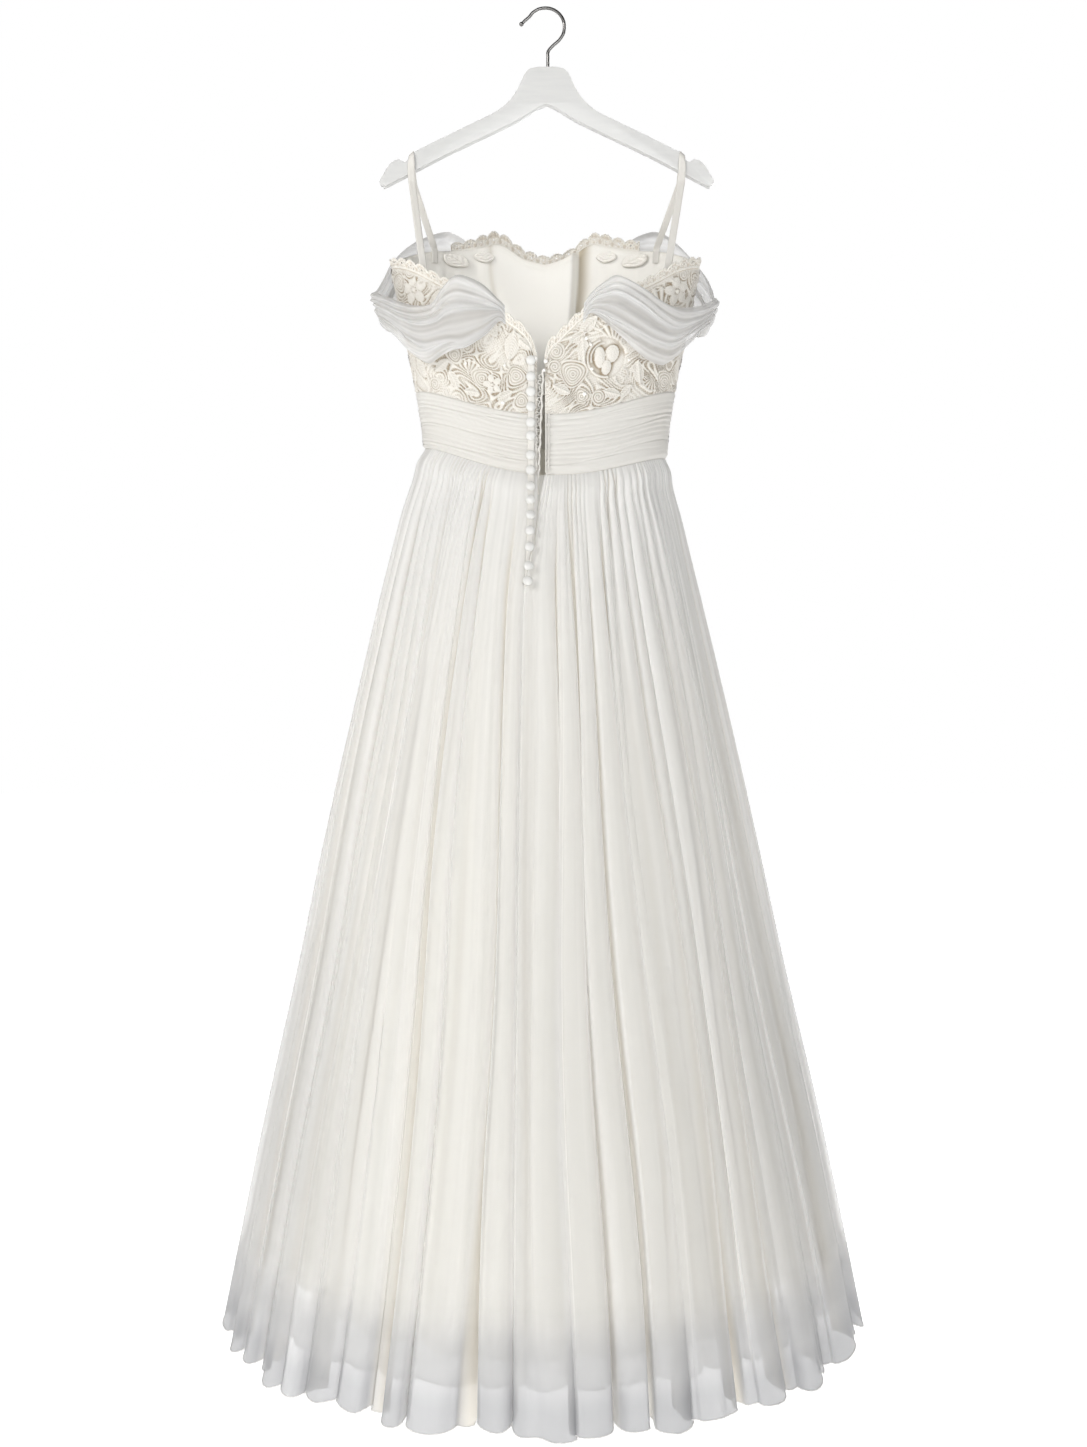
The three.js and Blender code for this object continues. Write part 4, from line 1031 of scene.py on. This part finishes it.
HOLLOW_REACH = 20


def hollows(inset, deep):
    """How far each point lies behind its neighbours along the row, from 0 to 1: how much painted shade lies
    in the folds.
    """
    window = np.ones(2 * HOLLOW_REACH + 1) / (2 * HOLLOW_REACH + 1)
    padded = np.pad(inset, ((0, 0), (HOLLOW_REACH, HOLLOW_REACH)), mode="edge")
    around = np.stack([np.convolve(row, window, mode="valid") for row in padded])
    return np.clip((inset - around) / deep, 0, 1) ** 1.2


def over_skirt(name, first, last, density, node_name, side):
    """A panel over some flutes. A side of 1 or -1 says that it starts or ends at the back's opening."""
    index, middle, half, u, depth = flute_columns(first, last, density)
    down = levels((60, 21), (200, 25), (930, 73), (SKIRT_LENGTH, 13))
    share = down / SKIRT_LENGTH
    flat = middle + half * u
    reach = (flat - flat[0]) if side > 0 else (flat[-1] - flat)
    ends = ease(reach / 6) if side else 1

    swell = (0.30 + 0.07 * np.sin(index * 1.7 + 0.6)) * np.clip(down / 420, 0, 1)
    lean = 0.27 * np.sin(index * 2.3 + 0.8 + 0.9 * share) * np.clip(down / 300, 0, 1)
    near, round_near = folds(flat, down, 82, 1.3, 4.6 + 4.6 * share**0.7, 0.25)
    tight, round_tight = folds(flat, down, 172, 5.1, 5.2 / (1 + (down / GATHER_FADE) ** 2), 0.22)
    calm = np.minimum(1, 0.35 + down / 40)

    grow = flute_growth(down) * (FLUTE_DEEPER + 0.35 * share)
    wave = np.sin(index * 1.9 + 4.2 * share)
    inset = depth * np.abs(u) ** FLUTE_POWER * grow * (1 + 0.4 * wave * (1 - share))
    inset = inset - 3.4 * bell(down - 15, 14)
    inset = inset + (near * np.minimum(1, down / 50) + tight * calm) * (0.6 + 0.4 * ends)

    drift = 1.5 * np.sin(math.pi * share) * np.sin(np.radians(flat) * 7 + 5 * share + 0.4)
    bend = (round_near * np.minimum(1, down / 70) + round_tight * calm) / per_degree(flat, down)
    angle = middle + half * (u + swell * np.sin(math.pi * u) + lean * (1 - u * u)) + (bend + drift) * ends
    if side:
        shift = overlap_angle(skirt_height(0, down, 0), down, side) - VALLEYS["at"][0]
        angle = angle + shift * np.clip(1 - reach / 16, 0, 1)

    x, y = skirt_outline(angle, down, inset)
    peak = (2 + 4.5 * np.sin(index * 2.3 + 1)) * (1 - u * u)
    valley = (6.5 + 5 * np.sin(index * 3.1)) * u * u
    hang = (peak - valley - 0.8 * near) * share**7
    points = np.stack([x, y, skirt_height(angle, down, 0) - hang], -1)
    if side > 0:
        points[..., 1] -= 2.2 * ease(1 - reach / 4) * ease((down - 60) / 60)
        points[..., 0] -= 7 * ease(1 - reach / 5) * ease((down - 70) / 70)

    base = 0.35 + 0.38 / (1 + (down / 240) ** 2) + 0.06 * share**2 + 0.36 * ease((share - 0.88) / 0.05)
    base = base + 0.06 * uneven(flat, down, 3) + 0.07 * streaks(flat, down)
    cover, edge_on = cover_of(points, angle, np.clip(base, 0.1, 0.9))
    # Painted shade: warm and dark in the fold hollows and grey where the net hangs thin, both less where a
    # fold turns edge-on
    shape = Shape()
    shape.grid(
        points,
        cover=np.clip(cover, 0, 0.97),
        crease=hollows(inset, 2.5 + 7 * share) * (1 - 0.8 * edge_on),
        thin=thinness(angle, share) * (1 - 0.55 * edge_on),
    )
    shape.tube(points[-1], 0.75, 5, lean=(0, 0, 1), cover=0.9)
    if side:
        shape.tube(points[:, 0 if side > 0 else -1], 0.55, 5, cover=0.85)
    return shape.make(name, TULLE, (node_name,))


def under_layer(
    name, look, node_name, sheer, down, density, shorter, waist_in, hem_in, wave, count, seed
):
    """A layer all round under the panels. A sheer one is of net, with finer folds."""
    angle = np.arange(0, 360, 1 / density)
    share = down / SKIRT_LENGTH
    phase = np.radians(angle) * count + 2.0 * uneven(angle, 0, seed) + 0.7 * uneven(angle, down, seed + 2)
    fold = 0.5 - 0.5 * np.cos(phase)
    size = np.clip(0.7 + 0.7 * uneven(angle, down, seed + 5, (3, 5, 9, 15, 22)), 0.12, 1.3)
    growth = flute_growth(down) * size
    inset = waist_in + (hem_in - waist_in) * share**0.8 + wave * growth * fold
    side = np.sin(phase) * growth * per_degree(angle, down) * 360 / count * (0.2 if sheer else 0.06)
    tight = 0
    if sheer:
        tight, round_tight = folds(angle, down, 118, seed, 1.2 + 3.5 * share, 0.16)
        side = side + round_tight
    bent = angle + side / per_degree(angle, down)
    x, y = skirt_outline(bent, down, inset + tight)
    lift = (0.25 * wave * size * fold + 0.6 * tight) * share**6
    points = np.stack([x, y, skirt_height(bent, down, shorter) + lift], -1)
    values = {}
    rim = {}
    if sheer:
        base = 0.30 + 0.25 / (1 + (down / 90) ** 2) + 0.34 * ease((share - 0.91) / 0.05)
        base = np.clip(base + 0.06 * streaks(angle, down), 0.1, 0.9)
        cover, edge_on = cover_of(points, bent, base, True)
        values["cover"] = np.clip(cover, 0, 0.95)
        # Painted shade on the underskirt's net: warm and dark in its fold hollows and grey where it hangs
        # thin, less where a fold turns edge-on
        values["crease"] = hollows(inset + tight, 3 + 8 * share) * (1 - 0.8 * edge_on)
        values["thin"] = 0.7 * thinness(bent, share - 0.03, 0.9) * (1 - 0.5 * edge_on)
        rim["cover"] = 0.92
    shape = Shape()
    shape.grid(points, ring=True, **values)
    shape.tube(points[-1], 0.7, 5, loop=True, lean=(0, 0, 1), **rim)
    return shape.make(name, look, (node_name,))


def make_skirt():
    front = over_skirt("tulle_front", 9, 23, 1.7, "skirt_front", 0)
    right = over_skirt("tulle_back_right", 0, 9, 2.5, "skirt_back_right", 1)
    left = over_skirt("tulle_back_left", 23, 30, 2.5, "skirt_back_left", -1)
    under = under_layer(
        "tulle_underskirt", UNDER_TULLE, "skirt_underskirt", True,
        levels((160, 29), (SKIRT_LENGTH, 75)), density=1.55, shorter=36,
        waist_in=5.9, hem_in=33, wave=22, count=41, seed=2.6,
    )
    lining = under_layer(
        "lining_skirt", LINING, "skirt_lining", False,
        levels((160, 17), (SKIRT_LENGTH, 49)), density=0.9, shorter=50,
        waist_in=7.9, hem_in=86, wave=16, count=17, seed=0.7,
    )


# Off-shoulder swags

# Place along the swag and the lower edges of its two upper laps, as shares of its height
LEFT_LAPS = rows(
    "s upper middle",
    (0, 0.55, 1.0), (0.12, 0.50, 1.0), (0.22, 0.46, 0.97), (0.32, 0.40, 0.86), (0.42, 0.37, 0.76),
    (0.52, 0.38, 0.74), (0.62, 0.46, 0.82), (0.8, 0.5, 0.9), (1, 0.6, 1.0),
)
RIGHT_LAPS = rows(
    "s upper middle",
    (0, 0.5, 1.0), (0.12, 0.42, 0.95), (0.22, 0.36, 0.86), (0.32, 0.36, 0.76), (0.42, 0.42, 0.72),
    (0.52, 0.46, 0.76), (0.62, 0.50, 0.84), (0.8, 0.5, 0.9), (1, 0.6, 1.0),
)
PLEAT_DEEP = 2.6


def swag(name, stations, laps, node_name, seed):
    """Three laps of gathered net, one over the next, along a row of stations."""
    last = len(stations["angle"]) - 1
    s = np.linspace(0, 1, 230)
    stations = {**stations, "index": np.arange(last + 1.0)}
    angle, proud, top, bottom = (
        curve(stations, "index", column, s * last) for column in ("angle", "out", "top", "bottom")
    )
    upper, middle = curve(laps, "s", "upper", s), curve(laps, "s", "middle", s)
    from_end = np.minimum(s, 1 - s)
    ends = ease(from_end * 9)
    tight = ease(1 - from_end * 7)
    w = np.linspace(0, 1, 34)[:, None]
    roll = 1 - np.clip(np.minimum(w, 1 - w) * 7, 0, 1)
    body = 3.0 * np.sin(w * math.pi) ** 0.7 - 4.5 * roll**2 - 3.5
    # Upper and lower edge of each lap, how far it stands out, its pleats and its own phase
    spans = (
        (middle - 0.16, 1 + 0 * s, 0.0, 1.6, 1.9),
        (upper - 0.14, middle, 2.6, 2.2, 3.4),
        (0 * s, upper, 5.0, 2.6, 5.2),
    )
    shape = Shape()
    for high, low, lift, pleats, own in spans:
        z = top + (bottom - top) * (high + (low - high) * w)
        drift = 0.8 * np.sin(s * 5 + seed + own) + 0.35 * np.sin(s * 13 + own * 2)
        pleat = PLEAT_DEEP * tooth(w * pleats + 0.7 * drift * (0.3 + 0.7 * w), 0.66)
        pleat = pleat + 0.4 * np.sin(w * 24 + 4 * drift + own)
        dip = 1.5 * np.sin(s * 17 + own) * (0.5 - w) * ends
        points = body_point(angle, z + dip, np.maximum(2.4, proud + (lift + pleat + body) * ends))
        cover = np.clip(0.74 + 0.16 * roll + 0.1 * tight + 0.05 * np.sin(s * 9 + own), 0, 0.97)
        cover = np.clip(cover + 0.07 * np.sin(w * 38 + 5 * drift + own), 0, 0.97)
        # Painted shade in the pleats' valleys, with faint bands across them and a little all over
        crease = np.clip(1 - pleat / PLEAT_DEEP, 0, 1) * 0.6 + 0.12 * np.sin(w * 31 + 6 * drift) + 0.12
        shape.grid(points if angle[0] > 0 else points[:, ::-1], cover=cover, crease=crease)
        if lift:
            shape.tube(points[-1], 0.55, 5, lean=(0, 0, 1), cover=0.95)
    piece = shape.make(name, SLEEVE_TULLE, (node_name,))


# Straps


def tangent_at(angle, z):
    """Level direction along the bodice, towards +X."""
    ahead = (body_point(angle + 1, z) - body_point(angle - 1, z)) * (1, 1, 0)
    return unit(-ahead if ahead[0] < 0 else ahead)


def strap_end(angle, top, out):
    """Where a strap is sewn in, where it leaves the neckline, and the way along the neckline."""
    return body_point(angle, top - STRAP_TUCK, out), body_point(angle, top + 2, out), tangent_at(angle, top)


def strap(name, side, node_name):
    """A folded strap from the back neckline over the hanger's notch to the front neckline."""
    near_top = float(left_neck(-STRAP_NEAR) if side < 0 else right_neck(STRAP_NEAR))
    far_top = float(front_neck(STRAP_FAR))
    inside = -SATIN_WALL / 2 - SEAM - STRAP_THICK / 2
    far_inside = inside - LINING_GAP - LINING_WALL - LINING_CLEAR + SEAM
    near_foot, near_edge, near_across = strap_end(side * STRAP_NEAR, near_top, inside)
    far_foot, far_edge, far_across = strap_end(side * STRAP_FAR, far_top, far_inside)

    x = HANGER_MIDDLE + side * STRAP_CROSSING
    level = np.array([1.0, 0, 0])
    slant = np.array([math.cos(NOTCH_SLOPE), 0, -side * math.sin(NOTCH_SLOPE)])
    bar = NOTCH_Z - (STRAP_CROSSING - NOTCH_X) * math.tan(NOTCH_SLOPE)
    half = HANGER_THICK / 2 + SEAM + STRAP_THICK / 2
    lift = (STRAP_THICK / 2 + SEAM) / math.cos(NOTCH_SLOPE) + 0.4
    near_down = np.array([x, -half - 0.8, bar - 26])
    far_down = np.array([x, half + 0.8, bar - 26])
    over = (
        (-half - 0.5, -14, level), (-half - 0.5, -3, slant), (-half + 2, lift, slant),
        (half - 2, lift, slant), (half + 0.5, -3, slant), (half + 0.5, -14, level),
    )

    stations = [(near_foot, near_across), (near_edge, near_across)]
    stations += [(near_edge + (near_down - near_edge) * t, level) for t in np.linspace(0.12, 0.95, 8)]
    stations += [(np.array([x, y, bar + up]), across) for y, up, across in over]
    stations += [(far_down + (far_edge - far_down) * t, level) for t in np.linspace(0.05, 0.88, 8)]
    stations += [(far_edge, far_across), (far_foot, far_across)]
    place = np.array([point for point, _ in stations])
    across = unit(np.array([direction for _, direction in stations]))
    steps = np.concatenate([[0], np.cumsum(np.linalg.norm(np.diff(place, axis=0), axis=1))])
    fine = np.linspace(0, steps[-1], 150)
    place = np.stack([np.interp(fine, steps, place[:, k]) for k in range(3)], -1)
    across = unit(np.stack([np.interp(fine, steps, across[:, k]) for k in range(3)], -1))
    facing = unit(np.cross(np.gradient(place, axis=0), across))

    turn = np.arange(20) * TURN / 20
    wide = np.cos(turn) * STRAP_WIDTH / 2
    fold = 0.62 + 0.38 * np.abs(np.cos(turn)) * np.abs(np.sin(np.cos(turn) * math.pi))
    thick = np.sign(np.sin(turn)) * np.abs(np.sin(turn)) ** 0.6 * STRAP_THICK * fold
    twist = 0.0625 * np.sin(fine / 31 + side)[:, None]
    rim = wide[:, None] * across[:, None] + (thick + twist * wide)[..., None] * facing[:, None]
    shape = Shape()
    shape.grid(place[:, None] + rim, ring=True)
    piece = shape.make(name, SATIN, (node_name,), closed=True)


# Hanger


def smooth_path(knots, between):
    """A curve through its knots with a number of steps between each two."""
    knots = np.array(knots, float)
    ends = np.concatenate([2 * knots[:1] - knots[1:2], knots, 2 * knots[-1:] - knots[-2:-1]])
    made = []
    for a, b, c, d in zip(ends, ends[1:], ends[2:], ends[3:]):
        for t in np.arange(between) / between:
            bend = (2 * a - 5 * b + 4 * c - d) * t**2 + (3 * b - a - 3 * c + d) * t**3
            made.append(0.5 * (2 * b + (c - a) * t + bend))
    return np.array(made + [knots[-1]])


def make_hanger():
    top = smooth_path([(0, HANGER_PEAK - 1.2), *zip(HANGER_SIDE["x"], HANGER_SIDE["z"])], 7)
    side = np.concatenate([top, smooth_path(HANGER_UNDER, 7)[1:]])
    outline = np.concatenate([side[:-1], side[::-1][:-1] * (-1, 1)])
    mesh = bmesh.new()
    near = -HANGER_THICK / 2 * MM
    ring = [mesh.verts.new(((x + HANGER_MIDDLE) * MM, near, z * MM)) for x, z in outline]
    pushed = bmesh.ops.extrude_face_region(mesh, geom=[mesh.faces.new(ring)])
    moved = [made for made in pushed["geom"] if isinstance(made, bmesh.types.BMVert)]
    bmesh.ops.translate(mesh, verts=moved, vec=(0, HANGER_THICK * MM, 0))
    bmesh.ops.recalc_face_normals(mesh, faces=mesh.faces)
    data = bpy.data.meshes.new("hanger_wood")
    mesh.to_mesh(data)
    mesh.free()
    for polygon in data.polygons:
        polygon.use_smooth = True
    data.materials.append(PAINT)
    piece = link("hanger_wood", data)
    rounding = piece.modifiers.new("edges", "BEVEL")
    rounding.width = 2.2 * MM
    rounding.segments = 4
    rounding.limit_method = "ANGLE"
    rounding.angle_limit = math.radians(60)
    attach(piece, "root")
    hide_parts("hanger_body")


def make_hook():
    turns = np.radians((-42, -15, 15, 45, 75, 105, 130, 148))
    ring = zip(HOOK_RING * np.cos(turns), HOOK_CENTRE + HOOK_RING * np.sin(turns))
    stem = ((HOOK_STEM_X, HANGER_PEAK - 3), (HOOK_STEM_X, -57), (HOOK_STEM_X + 0.3, -49), (8.6, -42.2))
    route = (*stem, *ring, (-23.6, -12.4), (-28, -16.8))
    path = smooth_path([(x, 0, z) for x, z in route], 8)
    shape = Shape()
    shape.tube(path, HOOK_WIRE / 2, 14)
    shape.ball(path[-1], 2.7, 12, 16)
    shape.make("hook_wire", STEEL, ("hanger_hook",), closed=True)


# Back closure


def closure_surface(x, z, out):
    """Points on the outside of the left back, from the bodice over the band to the skirt."""
    x, z = np.broadcast_arrays(np.asarray(x, float), np.asarray(z, float))
    band_top, band_bottom = edge_height(BAND_TOP, 0), edge_height(BAND_BOTTOM, 0)
    clear = np.where(z > band_top + 4, SATIN_WALL / 2 + LACE_RISE, BAND_OUT + BAND_WALL / 2 + PLEAT_RISE)
    upper = body_point(angle_of_x(x, z), z, clear + out)
    down = (band_bottom - z) / (band_bottom - HEM_SIDE + HEM_BACK_FALL) * SKIRT_LENGTH
    angle = np.degrees(np.arcsin((x - skirt_size("centre", down)) / skirt_size("half", down)))
    lower = np.stack([x, skirt_outline(angle, down, -out - 3.6)[1], z], -1)
    return np.where((z > band_bottom - 4)[..., None], upper, lower)


def make_placket():
    z = np.linspace(PLACKET_TOP + 2, PLACKET_BOTTOM, 130)[:, None]
    middle = curve(BUTTON_LINE, "z", "x", z)
    left = middle - 3.2
    right = np.minimum(middle + 4.0, curve(OVERLAP, "z", "x", z) - 1.2)
    w = np.linspace(0, 1, 13)
    place = closure_surface(left + (right - left) * w, z, SEAM + 0.1)
    roll = 0.9 * np.sin(w * math.pi) ** 0.5 + 0.25 * np.sin(z / 6 + 2 * np.sin(z / 17)) * (w - 0.5)
    place[..., 1] = spread(place[..., 1], 6) - roll
    shape = Shape()
    shape.grid(place)
    piece = shape.make("placket_satin", SATIN, ("button_placket",), wall=0.6)


BUTTON_EDGE = 0.5


def make_button(index):
    z = BUTTON_HEIGHTS[index]
    x = float(curve(BUTTON_LINE, "z", "x", z))
    clear = 2 * SEAM + PLACKET_THICK
    seat, above, below = (closure_surface(x, z + s * BUTTON_RADIUS, clear) for s in (0, 1, -1))
    up = unit(above - below)
    out = unit(np.cross(up, (1.0, 0, 0)))
    out = -out if out[1] > 0 else out
    tilt = unit(out + (0.10 * math.sin(index * 2.7), 0, 0) + 0.08 * math.cos(index * 1.9) * up)
    side = unit(np.cross(up, tilt))
    up = unit(np.cross(tilt, side))

    def place(reach, turn, away):
        way = np.cos(turn)[..., None] * side + np.sin(turn)[..., None] * up
        return seat + BUTTON_RADIUS * reach[..., None] * way + away[..., None] * tilt

    def dome(share, turn):
        reach = np.sin(share * math.pi * 0.5) * (1 + 0.012 * np.cos(turn * 7 + index))
        rise = np.cos(share * math.pi * 0.5) ** 0.8
        return place(reach, turn, BUTTON_EDGE + (BUTTON_DOME - BUTTON_EDGE) * rise)

    def back(share, turn):
        return place(0.97 * share, turn, 0.15 + 0.3 * share)

    shape = Shape()
    shape.cap(dome, 10, 28)
    shape.cap(back, 3, 28)
    name = f"button_{index + 1:02d}"
    shape.make(name + "_satin", BUTTON, (name,), closed=True)


def loop_edge(z):
    return np.interp(-z, LOOP_LINE["fall"], LOOP_LINE["x"])


def make_loops():
    """Crinkled loop tape on the right edge: a cord and its loops."""
    shape = Shape()
    z = np.linspace(-434, -579, 260)
    wiggle = 0.9 * np.sin(z / 2.3) + 0.5 * np.sin(z / 5.1 + 1)
    out = np.interp(-z, (434, 560, 579), (2.0, 1.5, 1.2)) + 0.4 * np.cos(z / 2.3)
    core = body_point(angle_of_x(loop_edge(z) - 1.2 + wiggle * 0.5, z), z, out)
    shape.tube(core, 1.15 + 0.35 * np.sin(z / 2.3) ** 2, 7)
    turn = np.linspace(-1.9, 1.9, 15)
    for k, middle in enumerate(np.arange(-441, -560, -6.4)):
        reach = 4.6 - 2.2 * ease((-middle - 480) / 80) + 0.8 * math.sin(k * 2.2)
        x = loop_edge(middle) - 1.0 - reach * (0.5 + 0.5 * np.cos(turn))
        z = middle + 2.3 * np.sin(turn)
        out = 2.0 + 0.8 * math.sin(k * 1.7) + 0.5 * np.cos(turn)
        shape.tube(body_point(angle_of_x(x, z), z, out), 0.62, 6)
    shape.make("loop_cords", SATIN, ("loop_tape",), closed=True)


def petal(name, angle, z, size, tilt, wide, vein):
    """A pointed leaf or petal of lace inside the front, with a vein of some depth."""
    inside = -SATIN_WALL / 2 - LINING_GAP - LINING_WALL - PETAL_CLEAR - 0.6

    def place(share, turn, away):
        along, across = np.cos(turn) * share, np.sin(turn) * share
        pointed = across * size * wide * (1 - 0.35 * along**2)
        beside, rise = rotated(pointed, along * size * 0.52, math.degrees(tilt))
        return body_point(angle + beside / 1.35, z + rise, inside - away)

    def front_face(share, turn):
        along, across = np.cos(turn) * share, np.sin(turn) * share
        ribs = 0.55 * np.cos(14 * along - 9 * np.abs(across)) * share * (1 - share) * 4
        rim = bell((share - 0.88) * 10, 1) - vein * bell(across * 9, 1)
        return place(share, turn, 2.6 * np.sqrt(np.clip(1 - share**2, 0, 1)) + ribs + rim + 1.4)

    def back_face(share, turn):
        return place(share, turn, 0)

    shape = Shape()
    # Painted shade: a little on the petal's front face and more on its back
    shape.cap(front_face, 14, 40, hollow=0.05)
    shape.cap(back_face, 2, 32, hollow=0.2)
    shape.make(name + "_lace", INNER_LACE, (name,), closed=True)


def make_petals():
    """Lace leaf and petal at the inner end of each swag on the front neckline."""
    petal("leaf_left", 216.5, -276, 18, 0.9, 0.42, 1.2)
    petal("petal_left", 204, -270, 13, 0.2, 0.44, 0)
    petal("leaf_right", 143.5, -276, 18, -0.9, 0.42, 1.2)
    petal("petal_right", 156, -270, 13, -0.2, 0.44, 0)


# Place across, height and radius of small beads beside the opening and among the lace's flowers
BEADS = (
    (-11.4, -421, 2.9), (0.2, -424, 2.6), (-1.6, -434, 2.0), (46, -398, 2.2),
    (51, -405, 1.8), (52, -432, 2.0), (44, -460, 2.3), (-48, -470, 2.0),
    (-46, -428, 1.8), (-118, -402, 1.6), (94, -420, 1.5), (-90, -424, 1.5),
)


def make_beads():
    shape = Shape()
    for x, z, radius in BEADS:
        shape.ball(body_point(angle_of_x(x, z), z, SATIN_WALL / 2 + 2.2), radius, 8, 12)
    shape.make("lace_beads", PEARL, closed=True)


# Studio

# Name, place, aim, width, power and colour
PANEL_LAMPS = (
    ("key", (-2.6, -2.5, 0.9), (0, 0, -0.9), 0.9, 59, (1, 0.99, 0.97)),
    ("back", (0.9, 3.6, 0.6), (0, 0, -0.8), 1.6, 40, (1, 1, 1)),
    ("fill", (0.9, -4.4, 0.2), (0, 0, -0.9), 1.6, 52, (0.985, 0.99, 1)),
)
FLOOR_Z = -1.95
FLOOR_HALF = 30
CAMERA_AWAY = 2.4
VIEW_TALL = 1.693


def lamp(kind, name, place, aim, power):
    """A lamp's data, once the lamp stands in its place and looks at its aim."""
    light = bpy.data.lights.new(name, kind)
    light.energy = power
    stand = link(name, light)
    stand.location = place
    stand.rotation_mode = "QUATERNION"
    stand.rotation_quaternion = Vector(np.array(aim) - np.array(place)).to_track_quat("-Z", "Y")
    return light


def make_lamps():
    for name, place, aim, width, power, colour in PANEL_LAMPS:
        panel = lamp("AREA", name, place, aim, power)
        panel.size = width
        panel.color = colour
    spot = lamp("SPOT", "neckline", (0.0, -2.3, 0.12), (0.004, 0.09, -0.32), 30)
    spot.spot_size = math.radians(6.4)
    spot.spot_blend = 1.0
    spot.shadow_soft_size = 0.08


def make_world():
    """A white surround for the camera that lights the dress only faintly."""
    world = bpy.data.worlds.new("studio")
    world.use_nodes = True
    bpy.context.scene.world = world
    tree = world.node_tree
    tree.nodes.clear()
    seen = node(tree, "ShaderNodeLightPath").outputs["Is Camera Ray"]
    dim, bright = (
        node(tree, "ShaderNodeBackground", {"Color": rgb(1, 1, 1), "Strength": power}).outputs[0]
        for power in (0.20, 1.0)
    )
    node(tree, "ShaderNodeOutputWorld", {"Surface": mix_shader(tree, seen, dim, bright)})


def make_floor():
    look, tree = new_look("pale_floor")
    end(tree, principled(tree, {
        "Base Color": rgb(0.9, 0.9, 0.9), "Roughness": 0.9,
        "Emission Color": rgb(1, 1, 1), "Emission Strength": 0.86,
    }))
    mesh = bpy.data.meshes.new("floor")
    corners = ((-1, -1), (1, -1), (1, 1), (-1, 1))
    mesh.from_pydata([(x * FLOOR_HALF, y * FLOOR_HALF, FLOOR_Z) for x, y in corners], [], [(0, 1, 2, 3)])
    mesh.materials.append(look)
    link("floor", mesh)


def make_studio():
    scene = bpy.context.scene
    scene.view_settings.view_transform = "Standard"
    scene.cycles.transparent_max_bounces = 32
    scene.cycles.max_bounces = 8
    scene.cycles.diffuse_bounces = 5
    # Smooth areas stop early, which keeps a final render under five minutes
    scene.cycles.use_adaptive_sampling = True
    scene.cycles.adaptive_threshold = 0.045
    scene.cycles.adaptive_min_samples = 8
    make_world()
    make_lamps()
    make_floor()


def make_camera():
    camera = link("camera", bpy.data.cameras.new("camera"))
    camera.data.lens = 36 * CAMERA_AWAY / VIEW_TALL
    camera.location = (-0.0023, -CAMERA_AWAY, -0.835)
    camera.rotation_euler = (math.pi / 2, 0, 0)
    camera.data.clip_end = 200
    bpy.context.scene.camera = camera


make_camera()
make_studio()
make_hanger()
make_hook()
make_bodice()
make_lining()
make_edgings()
make_waistband()
make_skirt()
swag("swag_left", LEFT_SWAG, LEFT_LAPS, "sleeve_left", 0.6)
swag("swag_right", RIGHT_SWAG, RIGHT_LAPS, "sleeve_right", 2.9)
strap("strap_left_satin", -1, "strap_left")
strap("strap_right_satin", 1, "strap_right")
make_placket()
for number in range(len(BUTTON_HEIGHTS)):
    make_button(number)
make_loops()
make_petals()
make_beads()

bpy.context.view_layer.update()
